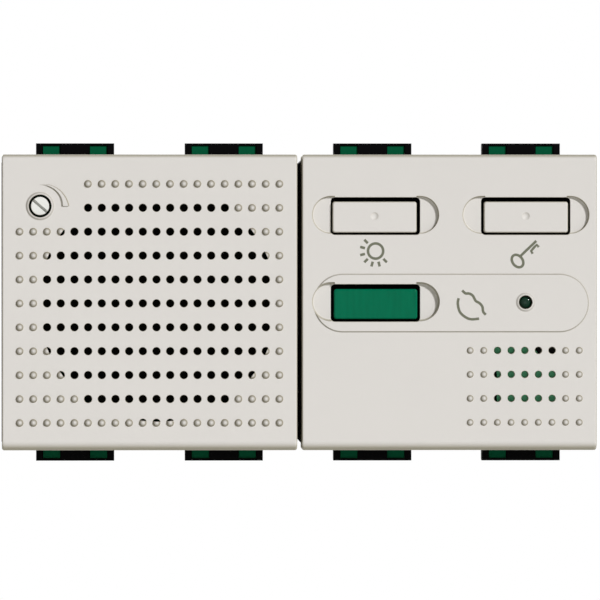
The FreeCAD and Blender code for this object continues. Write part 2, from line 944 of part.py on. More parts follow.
def magnet():
    """The ring magnet."""
    return ring(speaker_x, grille_z, magnet_r, coil_r + coil_t + 1, magnet_y, yoke_y)


def yoke():
    """The back plate with its pole, which stands inside the voice coil."""
    plate_r = magnet_r - basket_t
    pole_r = coil_r - coil_t / 2 - coil_gap
    plate = flat_rod(speaker_x, grille_z, plate_r, yoke_y, yoke_y + yoke_t, ring_sides)
    pole = flat_rod(speaker_x, grille_z, pole_r, top_plate_y, yoke_y, ring_sides)
    return plate.fuse(pole).removeSplitter()


def speaker_board():
    """The board behind the driver, on its four posts."""
    return board(screwed_posts(), screw_r + touch_gap, speaker_board_y)


def speaker_board_parts():
    """Amplifier, rectifier and two upright capacitors on the back of the board."""
    y = speaker_board_back
    return Part.makeCompound([
        chip(-0.48, 0.4, y),
        chip(-0.48, -0.05, y),
        small_part(0.2, 0.42, y),
        small_part(0.2, 0.2, y),
        capacitor(0.54, 0.1, y),
        capacitor(0.05, -0.17, y),
    ])


def trimmer_body():
    """The trimmer's square body, with the well in which its rotor turns."""
    y0 = speaker_board_y - trimmer_body_h
    body = centred(trimmer_x, trimmer_z, trimmer_body_w, trimmer_body_w, y0, speaker_board_y)
    well_r = trimmer_shaft_d / 2 + trimmer_run
    return body.cut(bore(trimmer_x, trimmer_z, well_r, y0, y0 + trimmer_bite + trimmer_run))


def trimmer_rotor():
    """Slotted head, and the long shaft whose foot turns in the trimmer's body."""
    foot_y = speaker_board_y - trimmer_body_h + trimmer_bite
    head_y = front_y + trimmer_inset
    neck_y = head_y + trimmer_head_t
    head = flat_rod(trimmer_x, trimmer_z, trimmer_head_d / 2, head_y, neck_y, ring_sides)
    shaft = flat_rod(trimmer_x, trimmer_z, trimmer_shaft_d / 2, neck_y, foot_y, ring_sides)
    rotor = head.fuse(shaft)
    slot = centred(0, 0, trimmer_head_d + 1, trimmer_slot_w, head_y, head_y + trimmer_slot_depth)
    slot.rotate(FreeCAD.Vector(0, 0, 0), FreeCAD.Vector(0, 1, 0), trimmer_slot_angle)
    slot.translate(FreeCAD.Vector(trimmer_x, 0, trimmer_z))
    return rotor.cut(slot)


def speaker_housing():
    """The rear housing behind the loudspeaker, with vents and two rear openings."""
    shell = housing_shell()
    cuts = [
        rear_opening(0, terminal_z, terminal_w, terminal_h),
        rear_opening(socket_x, socket_z, socket_w, socket_h),
    ]
    for i in range(vent_count):
        z = vent_z + (i - (vent_count - 1) / 2) * vent_pitch
        cuts.append(centred(speaker_x, z, vent_l, vent_h, housing_wall_y - 1, housing_depth + 1))
    return shell.cut(Part.makeCompound(cuts))


# Key module


def mic_places():
    """Centres of the microphone grille, each with whether it is open."""
    places = []
    for row in range(mic_rows):
        for col in range(mic_cols):
            over = mic_open_first <= col < mic_open_first + mic_open_cols and row < mic_open_rows
            places.append((mic_x + col * mic_col_pitch, mic_z - row * mic_row_pitch, over))
    return places


def mic_pocket(y0, y1):
    """The pocket behind the open holes of the microphone grille."""
    return block(mic_pocket_x0, mic_pocket_x1, y0, y1, mic_pocket_z0, mic_pocket_z1)


def key_cover():
    """The plate with its scoops, key openings, platform, status hole and microphone grille."""
    shell = cover_shell()
    platform_y = front_y - platform_rise
    added = [stadium(platform_x, talk_key_z, platform_l, platform_h, platform_y, front_y)]
    added.append(hole_rim(light_x, light_z, light_hole_d / 2, platform_y))
    holes = []
    for x, z, over in mic_places():
        if over:
            holes.append(hole_prism(x, z, mic_hole_d, front_y - 1, inner_y))
        else:
            added.append(dot(x, z, mic_hole_d, mic_dot_h))
    shell = shell.fuse(added).removeSplitter()
    cuts = holes + [mic_pocket(pocket_y, inner_y)]
    cuts.append(bore(light_x, light_z, light_hole_d / 2, front_y - 1, inner_y + 1, ring_sides))
    shell = shell.cut(Part.makeCompound(cuts))
    for name, cx, cz, w, h, shift in keys:
        shell = shell.cut(stadium(cx, cz + scoop_up, scoop_l, scoop_h, front_y - 1, front_y + scoop_depth))
        shell = shell.cut(bevelled(cx, cz, opening_w, opening_h, opening_round, front_y - 1, inner_y + 1))
    return shell


def key_posts():
    """Places of the stepped posts that carry the two boards."""
    return [(post_x, post_z), (post_x, -post_z), (-post_x, -post_z), (-post_x, post_z)]


def key_lip_size():
    """Outer size of a key's retaining lip."""
    return (opening_w + key_lip, opening_h + key_lip)


def key_chassis():
    """Walls, deck, the guides of the keys, the pad behind the microphone grille and the posts."""
    frame = chassis_frame()
    deck_w = 2 * chassis_x - chassis_wall
    deck_h = 2 * chassis_z - chassis_wall
    deck = centred(0, 0, deck_w, deck_h, key_deck_y, key_deck_back)
    guides = []
    cuts = []
    lip_w, lip_h = key_lip_size()
    for name, cx, cz, w, h, shift in keys:
        in_w = lip_w + 2 * guide_gap
        in_h = lip_h + 2 * guide_gap
        guide = centred(cx, cz, in_w + 2 * key_guide_t, in_h + 2 * key_guide_t, chassis_front, key_deck_y)
        guides.append(guide)
        cuts.append(centred(cx, cz, in_w, in_h, chassis_front, key_deck_y))
        window = switch_w + 2 * switch_gap
        cuts.append(centred(cx, cz, window, window, key_deck_y - 1, key_deck_back + 1))
    first_x = mic_x + mic_open_first * mic_col_pitch
    upper_x = first_x + pad_upper_cols * mic_col_pitch
    between_z = mic_z - mic_row_pitch / 2
    pad_y = pocket_y + pad_gap
    pad_x0 = mic_pocket_x0 + pad_side
    pad_x1 = mic_pocket_x1 - pad_side
    upper_pad = block(pad_x0, upper_x, pad_y, key_deck_y, between_z, mic_pocket_z1 - pad_side)
    lower_pad = block(first_x, pad_x1, pad_y, key_deck_y, mic_pocket_z0 + pad_side, between_z)
    boot_r = capsule_d / 2 + boot_wall
    cuts.append(bore(capsule_x, capsule_z, boot_r + touch_gap, front_y, key_deck_back + 1))
    pipe_way = pipe_d / 2 + pipe_gap
    cuts.append(bore(light_x, light_z, pipe_way, key_deck_y - 1, key_deck_back + 1, ring_sides))
    posts = []
    for x, z in key_posts():
        posts.append(peg(x, z, post_r, key_deck_back, key_board_y))
        posts.append(peg(x, z, neck_r, key_board_y, main_board_y))
        cuts.append(bore(x, z, screw_r, main_board_back - screw_bite - fit_gap, main_board_y))
    solid = frame.fuse([deck, upper_pad, lower_pad] + guides + posts).removeSplitter()
    return solid.cut(Part.makeCompound(cuts))


def key_cap(cx, cz, w, h, shift, with_dot):
    """A key: hollow cap, retaining lip and the stem that meets its switch."""
    lip_back = key_lip_y + key_lip_t
    cap_x = cx + shift
    cap_z = cz - key_drop
    cap = bevelled(cap_x, cap_z, w, h, key_round, front_y, lip_back)
    front = [edge for edge in cap.Edges if edge.BoundBox.YMax < front_y + 0.001]
    cap = cap.makeChamfer(key_edge, front)
    lip_w, lip_h = key_lip_size()
    lip = centred(cx, cz, lip_w, lip_h, key_lip_y, lip_back)
    solid = cap.fuse(lip)
    solid = solid.cut(centred(cap_x, cap_z, w - 2 * key_wall, h - 2 * key_wall, front_y + key_wall, lip_back))
    stem_h = h - 2 * key_wall
    stem = centred(cx, cap_z, key_stem_w, stem_h, front_y + key_wall / 2, plunger_y - touch_gap)
    solid = solid.fuse(stem).removeSplitter()
    if with_dot:
        r = key_dot_d / 2
        above_y = front_y - touch_gap
        hollow = [(0, above_y), (r, above_y), (r, front_y), (0, front_y + key_dot_depth)]
        solid = solid.cut(turned(hollow, cap_x, cz, peg_sides))
    return solid


def switch_body(cx, cz):
    """A push switch's body, with the bore of its plunger."""
    body = centred(cx, cz, switch_w, switch_w, switch_y, key_board_y)
    depth = plunger_bite + key_travel + touch_gap
    return body.cut(bore(cx, cz, plunger_d / 2 + plunger_run, switch_y, switch_y + depth))


def switch_plunger(cx, cz):
    """A push switch's plunger."""
    return peg(cx, cz, plunger_d / 2, plunger_y, switch_y + plunger_bite)


def light_pipe():
    """The dark lens of the status light: domed front, flange on the deck and tail to the lamp."""
    r = pipe_d / 2
    flange_r = pipe_flange_d / 2
    tip_y = front_y - platform_rise
    foot_y = key_board_y - lamp_t - lamp_gap
    flange_front = key_deck_y - pipe_flange_t
    profile = [
        (0, tip_y),
        (r * 0.6, tip_y + pipe_dome * 0.28),
        (r, tip_y + pipe_dome),
        (r, flange_front),
        (flange_r, flange_front),
        (flange_r, key_deck_y),
        (r, key_deck_y),
        (r, foot_y),
        (0, foot_y),
    ]
    return turned(profile, light_x, light_z, ring_sides)


def status_lamp():
    """The lamp on the front board, behind the light pipe."""
    return centred(light_x, light_z, lamp_w, lamp_h, key_board_y - lamp_t, key_board_y)


def boot_y():
    """Front face of the microphone boot."""
    return inner_y + housing_fit


def mic_boot():
    """The rubber boot round the microphone, with the sound hole in its front."""
    r = capsule_d / 2
    y0 = boot_y()
    outer = r + boot_wall
    profile = [
        (outer, y0),
        (outer, y0 + boot_depth),
        (r, y0 + boot_depth),
        (r, y0 + boot_front),
        (boot_hole_d / 2, y0 + boot_front),
        (boot_hole_d / 2, y0),
    ]
    return turned(profile, capsule_x, capsule_z, peg_sides)


def mic_capsule():
    """The microphone capsule with its two pins to the board."""
    y0 = boot_y() + boot_front
    can = peg(capsule_x, capsule_z, capsule_d / 2, y0, y0 + capsule_h)
    pins = []
    for side in (-1, 1):
        x = capsule_x + side * capsule_d / 4
        pins.append(centred(x, capsule_z, pin_w, pin_w, y0 + capsule_h, key_board_y))
    return can.fuse(pins)


def key_board():
    """The front board: switches, lamp and microphone on its front, posts through its corners."""
    return board(key_posts(), neck_r + neck_gap, key_board_y)


def key_board_parts():
    """Small parts on the front board, between the switches."""
    chip_y = key_board_y - chip_t
    small_y = key_board_y - small_part_t
    return Part.makeCompound([
        chip(0, 0.42, chip_y),
        chip(-0.42, -0.62, chip_y),
        small_part(0, -0.62, small_y),
        small_part(0.2, -0.42, small_y),
    ])


def board_link():
    """The pin header that joins the two boards."""
    y0 = key_board_y + board_t
    return centred(0, link_header_z, link_header_w, link_header_h, y0, main_board_y)


def main_board():
    """The rear board, on the ends of the stepped posts."""
    return board(key_posts(), screw_r + touch_gap, main_board_y)


def main_board_parts():
    """Controller, line transformer and capacitors on the back of the rear board."""
    y = main_board_back
    coil_x = 0.65 * board_x
    coil_z = -0.2 * board_z
    return Part.makeCompound([
        centred(coil_x, coil_z, line_coil_w, line_coil_w, y, y + line_coil_t),
        chip(-0.62, -0.15, y),
        capacitor(-0.65, -0.57, y),
        small_part(0.35, 0.62, y),
    ])


def setting_header():
    """The base of the setting header with its double row of pins."""
    y1 = housing_depth - setting_inset
    base = centred(0, setting_z, setting_w - 2 * socket_wall, setting_h, main_board_back, y1)
    pins = []
    for cx in setting_places():
        for side in (-0.5, 0.5):
            z = setting_z + side * setting_pitch
            pins.append(centred(cx, z, pin_w, pin_w, y1, y1 + setting_pin_l))
    return base.fuse(pins)


def setting_places():
    """Columns of the setting header."""
    return [(i - (setting_pins - 1) / 2) * setting_pitch for i in range(setting_pins)]


def jumper_caps():
    """Two jumper caps on the setting header's outer columns."""
    y0 = housing_depth - setting_inset
    caps = []
    for cx in (setting_places()[0], setting_places()[-1]):
        cap = centred(cx, setting_z, jumper_w, jumper_h, y0, y0 + setting_pin_l + jumper_t / 4)
        for side in (-0.5, 0.5):
            z = setting_z + side * setting_pitch
            cap = cap.cut(centred(cx, z, pin_w, pin_w, y0, y0 + setting_pin_l))
        caps.append(cap)
    return Part.makeCompound(caps)


def key_housing():
    """The rear housing behind the keys, with three rear openings."""
    shell = housing_shell()
    cuts = [
        rear_opening(0, terminal_z, terminal_w, terminal_h),
        rear_opening(-socket_x, socket_z, socket_w, socket_h),
        rear_opening(0, setting_z, setting_w, setting_h),
    ]
    return shell.cut(Part.makeCompound(cuts))


def main():
    """Build and write every node."""
    left = -1
    right = 1
    save("speaker_cover", place(speaker_cover(), left))
    save("speaker_chassis", place(speaker_chassis(), left))
    save("speaker_housing", place(speaker_housing(), left))
    cloth_r = pocket_r - driver_gap
    cloth = pocket_outline(cloth_r, driver_r, pocket_y, pocket_y + cloth_t)
    save("grille_cloth", place(cloth, left))
    gasket_y = pocket_y + cloth_t
    gasket = ring(speaker_x, grille_z, driver_r, driver_r - gasket_w, gasket_y, gasket_y + gasket_t)
    save("speaker_gasket", place(gasket, left))
    save("speaker_basket", place(basket(), left))
    save("speaker_surround", place(surround(), left))
    save("speaker_cone", place(cone(), left))
    save("speaker_dust_cap", place(dust_cap(), left))
    save("speaker_voice_coil", place(voice_coil(), left))
    save("speaker_top_plate", place(top_plate(), left))
    save("speaker_magnet", place(magnet(), left))
    save("speaker_yoke", place(yoke(), left))
    save("speaker_leads", place(speaker_leads(), left))
    save("speaker_board", place(speaker_board(), left))
    save("speaker_board_parts", place(speaker_board_parts(), left))
    screws = [board_screw(x, z, speaker_board_back) for x, z in screwed_posts()]
    save("speaker_board_screws", place(Part.makeCompound(screws), left))
    save("trimmer_body", place(trimmer_body(), left))
    save("trimmer_rotor", place(trimmer_rotor(), left))
    save("speaker_terminal_block", place(terminal_block(speaker_board_back), left))
    save("speaker_terminal_screws", place(terminal_screws(), left))
    save("speaker_link_socket", place(link_socket(socket_x, speaker_board_back), left))
    save("key_cover", place(key_cover(), right))
    save("key_chassis", place(key_chassis(), right))
    save("key_housing", place(key_housing(), right))
    for name, cx, cz, w, h, shift in keys:
        save(name, place(key_cap(cx, cz, w, h, shift, name != "talk_key"), right))
        save(name + "_switch", place(switch_body(cx, cz), right))
        save(name + "_plunger", place(switch_plunger(cx, cz), right))
    save("status_light_pipe", place(light_pipe(), right))
    save("status_lamp", place(status_lamp(), right))
    save("microphone_boot", place(mic_boot(), right))
    save("microphone_capsule", place(mic_capsule(), right))
    save("key_board", place(key_board(), right))
    save("key_board_parts", place(key_board_parts(), right))
    save("board_link", place(board_link(), right))
    save("main_board", place(main_board(), right))
    save("main_board_parts", place(main_board_parts(), right))
    screws = [board_screw(x, z, main_board_back) for x, z in key_posts()]
    save("main_board_screws", place(Part.makeCompound(screws), right))
    save("key_terminal_block", place(terminal_block(main_board_back), right))
    save("key_terminal_screws", place(terminal_screws(), right))
    save("key_link_socket", place(link_socket(-socket_x, main_board_back), right))
    save("setting_header", place(setting_header(), right))
    save("jumper_caps", place(jumper_caps(), right))


main()
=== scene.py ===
import math

import bmesh
import bpy
from bpy.props import FloatProperty, FloatVectorProperty, IntProperty, PointerProperty
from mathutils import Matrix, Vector


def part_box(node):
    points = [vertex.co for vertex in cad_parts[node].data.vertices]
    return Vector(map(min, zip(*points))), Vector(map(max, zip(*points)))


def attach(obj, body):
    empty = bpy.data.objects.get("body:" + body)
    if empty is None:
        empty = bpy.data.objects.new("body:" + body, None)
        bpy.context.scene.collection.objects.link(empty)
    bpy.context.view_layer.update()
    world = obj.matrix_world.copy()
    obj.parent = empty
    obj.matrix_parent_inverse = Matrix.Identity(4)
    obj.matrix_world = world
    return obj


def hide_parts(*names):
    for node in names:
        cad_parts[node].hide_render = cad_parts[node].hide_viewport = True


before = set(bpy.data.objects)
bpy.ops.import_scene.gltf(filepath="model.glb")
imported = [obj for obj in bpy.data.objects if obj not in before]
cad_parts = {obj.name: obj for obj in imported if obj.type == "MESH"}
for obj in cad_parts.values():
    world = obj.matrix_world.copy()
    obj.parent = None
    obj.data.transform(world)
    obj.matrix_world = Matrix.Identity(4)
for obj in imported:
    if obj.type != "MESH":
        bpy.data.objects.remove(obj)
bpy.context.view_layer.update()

# A hands-free door-entry chime: a loudspeaker module and a key module, side by side.
# Metres, +Z up; the front faces -Y and y = 0 is the plane of the fixing lugs.

bl_info = {
    "name": "Door chime set",
    "version": (1, 0, 0),
    "blender": (4, 5, 0),
    "location": "3D View > Sidebar > Chime",
    "description": "Finishes the two modules of a hands-free door chime on their packed frame",
    "category": "Object",
}

MM = 0.001


def millimetres(name, description, value):
    """A length that a user may change."""
    return FloatProperty(name=name, description=description, default=value * MM, unit="LENGTH", precision=6)


def count(name, description, value, least=0):
    """A number of things that a user may change."""
    return IntProperty(name=name, description=description, default=value, min=least)


def linear(level):
    """A display level from 0 to 255 as a linear one."""
    share = level / 255
    return share / 12.92 if share <= 0.04045 else ((share + 0.055) / 1.055) ** 2.4


def tint(name, description, red, green, blue):
    """A colour that a user may change, given by its display levels."""
    value = (linear(red), linear(green), linear(blue))
    return FloatVectorProperty(name=name, description=description, default=value, subtype="COLOR", size=3)


class ChimePlateSizes(bpy.types.PropertyGroup):
    """Sizes of the two front plates."""

    front: millimetres("Front depth", "Distance from the lugs' plane to the plates' faces", 9.2)
    front_wall: millimetres("Front wall", "Thickness of a plate's face", 2.2)
    side_wall: millimetres("Side wall", "Thickness of a plate's sides", 1.3)
    web: millimetres("Web", "Thickness left in front of a pocket", 1.2)
    corner_round: millimetres("Corner radius", "Radius of a plate's corners in the front view", 0.35)
    top_round: millimetres("Top radius", "Radius of the upper front edge", 0.8)
    bottom_round: millimetres("Bottom radius", "Radius of the lower front edge", 1.5)
    side_round: millimetres("Side radius", "Radius of the front edges at the sides", 0.3)


class ChimeGrilleSizes(bpy.types.PropertyGroup):
    """Sizes of the loudspeaker's grille."""

    columns: count("Columns", "Places in a row", 20, 2)
    rows: count("Rows", "Rows of places", 11, 2)
    column_pitch: millimetres("Column pitch", "Distance between columns", 2.05)
    row_pitch: millimetres("Row pitch", "Distance between rows", 3.583)
    centre_x: millimetres("Centre X", "Middle of the open disc, from the module's middle", 1.2)
    centre_z: millimetres("Centre Z", "Height of the grille's middle", -0.13)
    hole: millimetres("Hole", "Diameter of a hole and of a raised dot", 1.2)
    dot_height: millimetres("Dot height", "Rise of a dot above the plate", 0.45)
    disc: millimetres("Disc radius", "Radius of the pocket behind the open holes", 17.88)
    flat: millimetres("Flat reach", "Distance of the flats that trim the disc on four sides", 17.3)
    foot: millimetres("Foot radius", "Radius of the pocket at the middle of the last row", 17.75)
    band_rows: count("Band row", "Row from the middle that opens further", 4)
    band_reach: millimetres("Band reach", "Half length of that row's slot", 11.2)
    band_height: millimetres("Band height", "Height of that row's slot", 1.6)
    short_rows: count("Short rows", "Rows that leave room for the trimmer", 2)
    short_columns: count("Short columns", "Places left out of each", 5)


class ChimeTrimmerSizes(bpy.types.PropertyGroup):
    """Sizes of the volume trimmer and its marks."""

    x: millimetres("X", "Trimmer from the module's middle", -16.41)
    z: millimetres("Z", "Height of the trimmer", 14.47)
    hole: millimetres("Hole", "Diameter of the hole in the plate", 3.4)
    rim: millimetres("Rim", "Outer diameter of the raised rim", 4.4)
    rim_height: millimetres("Rim height", "Rise of the rim", 0.24)
    head: millimetres("Head", "Diameter of the slotted head", 2.75)
    head_depth: millimetres("Head depth", "Thickness of the head", 1.6)
    shaft: millimetres("Shaft", "Diameter of the shaft", 2.2)
    slot_width: millimetres("Slot width", "Width of the driver slot", 0.4)
    slot_depth: millimetres("Slot depth", "Depth of the driver slot", 0.75)
    slot_turn: FloatProperty(
        name="Slot turn", description="Turn of the slot at rest",
        default=math.radians(-41), unit="ROTATION")
    mark_inner: millimetres("Mark inner", "Inner radius of the volume mark", 3.15)
    mark_outer: millimetres("Mark outer", "Outer radius of the volume mark at its loud end", 4.4)
    mark_height: millimetres("Mark height", "Rise of the volume mark", 0.22)


class ChimeKeySizes(bpy.types.PropertyGroup):
    """Sizes of the keys, their openings and scoops."""

    left_x: millimetres("Left X", "Left keys from the module's middle", -11.1)
    right_x: millimetres("Right X", "Right key from the module's middle", 11.48)
    upper_z: millimetres("Upper Z", "Height of the upper keys", 12.96)
    talk_z: millimetres("Talk Z", "Height of the talk key", -0.08)
    opening_width: millimetres("Opening width", "Width of a key's opening", 13.44)
    opening_height: millimetres("Opening height", "Height of a key's opening", 5.6)
    opening_round: millimetres("Opening radius", "Corner radius of an opening", 0.6)
    width: millimetres("Key width", "Width of a grey key", 12.64)
    height: millimetres("Key height", "Height of a grey key", 4.66)
    talk_width: millimetres("Talk width", "Width of the talk key", 12.52)
    talk_height: millimetres("Talk height", "Height of the talk key", 4.5)
    drop: millimetres("Drop", "How far a key hangs below its opening's middle", 0.15)
    light_shift: millimetres("Light key shift", "How far right the light key sits in its opening", -0.15)
    # Behind this depth a key is painted black as shade; the black skirt is painted shade in its opening.
    skin: millimetres("Skin", "Depth of a key's coloured front, before its black skirt", 1.1)
    corner: millimetres("Key corner", "Corner radius of a key", 0.35)
    edge: millimetres("Key edge", "Radius of a key's front edge", 0.25)
    wall: millimetres("Key wall", "Wall of a key's hollow cap", 1.0)
    lip: millimetres("Lip", "How much larger the retaining lip is than the opening", 0.8)
    lip_depth: millimetres("Lip depth", "Thickness of the retaining lip", 0.8)
    lip_gap: millimetres("Lip gap", "Play between the lip and the plate", 0.1)
    stem_width: millimetres("Stem width", "Width of the stem behind a key", 3.4)
    dot: millimetres("Tactile dot", "Diameter of the hollow that a finger feels", 1.3)
    dot_depth: millimetres("Dot depth", "Depth of that hollow", 0.2)
    scoop_length: millimetres("Scoop length", "Length of a finger scoop", 19.0)
    scoop_height: millimetres("Scoop height", "Height of a finger scoop", 5.6)
    scoop_depth: millimetres("Scoop depth", "Depth of a finger scoop", 0.6)
    scoop_up: millimetres("Scoop rise", "How far a scoop sits above its key's middle", 0.2)


class ChimePanelSizes(bpy.types.PropertyGroup):
    """Sizes of the raised platform, status light and microphone grille."""

    platform_x: millimetres("Platform X", "Middle of the raised platform", 0.26)
    platform_length: millimetres("Platform length", "Length of the platform", 41.4)
    platform_height: millimetres("Platform height", "Height of the platform", 8.8)
    platform_rise: millimetres("Platform rise", "Rise of the platform above the plate", 0.18)
    light_x: millimetres("Light X", "Status light from the module's middle", 11.42)
    light_z: millimetres("Light Z", "Height of the status light", 0.04)
    light_hole: millimetres("Light hole", "Diameter of the status light's hole", 2.0)
    light_pipe: millimetres("Light pipe", "Diameter of the status light's lens", 1.8)
    light_rim: millimetres("Light rim", "Outer diameter of the rim round the light", 3.0)
    flange_depth: millimetres("Flange depth", "Depth of the lens's flange in front of the lugs", 4.9)
    light_rim_height: millimetres("Rim rise", "Rise of that rim above the platform", 0.2)
    mic_columns: count("Columns", "Places in a row of the microphone grille", 9)
    mic_rows: count("Rows", "Rows of the microphone grille", 4)
    mic_x: millimetres("First X", "First place of the microphone grille", 3.11)
    mic_z: millimetres("First Z", "Height of its first row", -7.2)
    mic_column_pitch: millimetres("Column pitch", "Distance between its columns", 2.05)
    mic_row_pitch: millimetres("Row pitch", "Distance between its rows", 3.6)
    mic_hole: millimetres("Hole", "Diameter of its holes and dots", 1.06)
    mic_dot_height: millimetres("Dot height", "Rise of its dots", 0.36)
    mic_open_first: count("First open", "First column with open holes", 2)
    mic_open_columns: count("Open columns", "Columns with open holes", 5)
    mic_open_rows: count("Open rows", "Rows with open holes", 3)
    mic_margin: millimetres("Pocket margin", "Rim of the pocket round the open holes", 0.6)
    mic_pad_depth: millimetres("Pad depth", "Just behind the face of the green pad at the microphone", 7.15)
    print_width: millimetres("Sign stroke", "Width of the printed signs' lines", 0.39)
    print_depth: millimetres("Sign thickness", "Thickness of the print", 0.02)


class ChimeColours(bpy.types.PropertyGroup):
    """Colours of the plastics and prints."""

    plate: tint("Plates", "Warm light grey of the plates and grey keys", 215, 212, 209)
    talk: tint("Talk key", "Glossy green of the talk key", 0, 102, 72)
    chassis: tint("Chassis", "Green of the inner frames", 2, 84, 54)
    mic_pad: tint("Microphone pad", "Lit green of the pad right behind the microphone holes", 138, 248, 195)
    housing: tint("Housings", "Black of the rear housings", 7, 7, 8)
    trimmer: tint("Trimmer", "Near white of the trimmer", 228, 229, 226)
    lens: tint("Status lens", "Dark green of the unlit status light", 12, 44, 30)
    ink: tint("Signs", "Olive grey of the printed signs", 106, 108, 92)
    board: tint("Boards", "Green of the circuit boards", 18, 74, 48)


# Shapes

# Sides of each round shape in the front view.
DOT_SIDES = 16
HOLE_SIDES = 18
HOLLOW_SIDES = 24
LIGHT_HOLE_SIDES = 28
TRIMMER_HOLE_SIDES = 32
LENS_SIDES = 36
RIM_SIDES = 40
DISC_SIDES = 96
# Corner radius of the plain blocks that trim other shapes.
BLOCK_CORNER = 0.1 * MM
# Skins that meet at more than this show a crisp edge.
CRISP_ANGLE = math.radians(32)


def outline(cx, cz, width, height, radius, steps=5):
    """A rounded rectangle in the front view, from its lower right corner round."""
    points = []
    for corner, (side_x, side_z) in enumerate(((1, -1), (1, 1), (-1, 1), (-1, -1))):
        mid_x = cx + side_x * (width / 2 - radius)
        mid_z = cz + side_z * (height / 2 - radius)
        for step in range(steps + 1):
            angle = math.radians(90 * (corner - 1 + step / steps))
            points.append((mid_x + radius * math.cos(angle), mid_z + radius * math.sin(angle)))
    return points


def circle(cx, cz, radius, sides):
    """A circle in the front view."""
    turns = [2 * math.pi * i / sides for i in range(sides)]
    return [(cx + radius * math.cos(turn), cz + radius * math.sin(turn)) for turn in turns]


def at(points, y):
    """A ring of points at one depth."""
    return [(x, y, z) for x, z in points]


def add_loft(bm, rings):
    """A closed skin through rings of as many points each, with both ends capped."""
    loops = [[bm.verts.new(point) for point in ring] for ring in rings]
    bm.faces.new(loops[0])
    bm.faces.new(loops[-1])
    for near, far in zip(loops, loops[1:]):
        for i in range(len(near)):
            k = (i + 1) % len(near)
            bm.faces.new((near[i], far[i], far[k], near[k]))


def piece(name, *skins):
    """An object made of closed skins, each a list of rings."""
    bm = bmesh.new()
    for rings in skins:
        add_loft(bm, rings)
    bmesh.ops.recalc_face_normals(bm, faces=bm.faces)
    return from_bmesh(name, bm)


def prism(name, points, y0, y1):
    """An object with the same outline from one depth to another."""
    return piece(name, [at(points, y0), at(points, y1)])


def block(name, cx, cz, width, height, y0, y1):
    """A plain block with its upright edges only just rounded."""
    return prism(name, outline(cx, cz, width, height, BLOCK_CORNER, 2), y0, y1)


def from_bmesh(name, bm):
    """An object that takes over a bmesh."""
    mesh = bpy.data.meshes.new(name)
    bm.to_mesh(mesh)
    bm.free()
    obj = bpy.data.objects.new(name, mesh)
    bpy.context.scene.collection.objects.link(obj)
    return obj


def remove(obj):
    """Deletes a helper and its mesh."""
    mesh = obj.data
    bpy.data.objects.remove(obj)
    bpy.data.meshes.remove(mesh)


def settle(obj):
    """Turns an object's evaluated modifiers into its plain mesh."""
    bpy.context.view_layer.update()
    graph = bpy.context.evaluated_depsgraph_get()
    mesh = bpy.data.meshes.new_from_object(obj.evaluated_get(graph))
    old = obj.data
    obj.modifiers.clear()
    obj.data = mesh
    mesh.name = obj.name
    bpy.data.meshes.remove(old)


def combine(obj, tool, operation):
    """Cuts, joins or intersects with a helper, which is then deleted."""
    modifier = obj.modifiers.new(operation.title(), "BOOLEAN")
    modifier.operation = operation
    modifier.solver = "EXACT"
    modifier.object = tool
    before = len(obj.data.polygons)
    settle(obj)
    if len(obj.data.polygons) < 4:
        raise RuntimeError(f"{operation} left {obj.name} empty; it had {before} faces")
    remove(tool)


def crease(obj):
    """Smooth skins with crisp edges between them, and flats that stay flat."""
    mesh = obj.data
    mesh.polygons.foreach_set("use_smooth", [True] * len(mesh.polygons))
    mesh.set_sharp_from_angle(angle=CRISP_ANGLE)
    modifier = obj.modifiers.new("Flats", "WEIGHTED_NORMAL")
    modifier.keep_sharp = True


def middle(node):
    """The corners of a CAD node's box, and its middle in the front view."""
    low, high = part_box(node)
    return low, high, (low.x + high.x) / 2, (low.z + high.z) / 2


def finish_piece(obj, body, slot, *nodes):
    """Gives a piece its body, the slot's material if it has none, and what it stands for."""
    if not obj.data.materials:
        obj.data.materials.append(Finishes.get(slot))
    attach(obj, body)
    if nodes:
        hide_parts(*nodes)


def dress(finish, *nodes):
    """Gives CAD nodes one of the finishes."""
    for name in nodes:
        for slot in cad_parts[name].material_slots:
            slot.material = Finishes.get(finish)


# Nodes


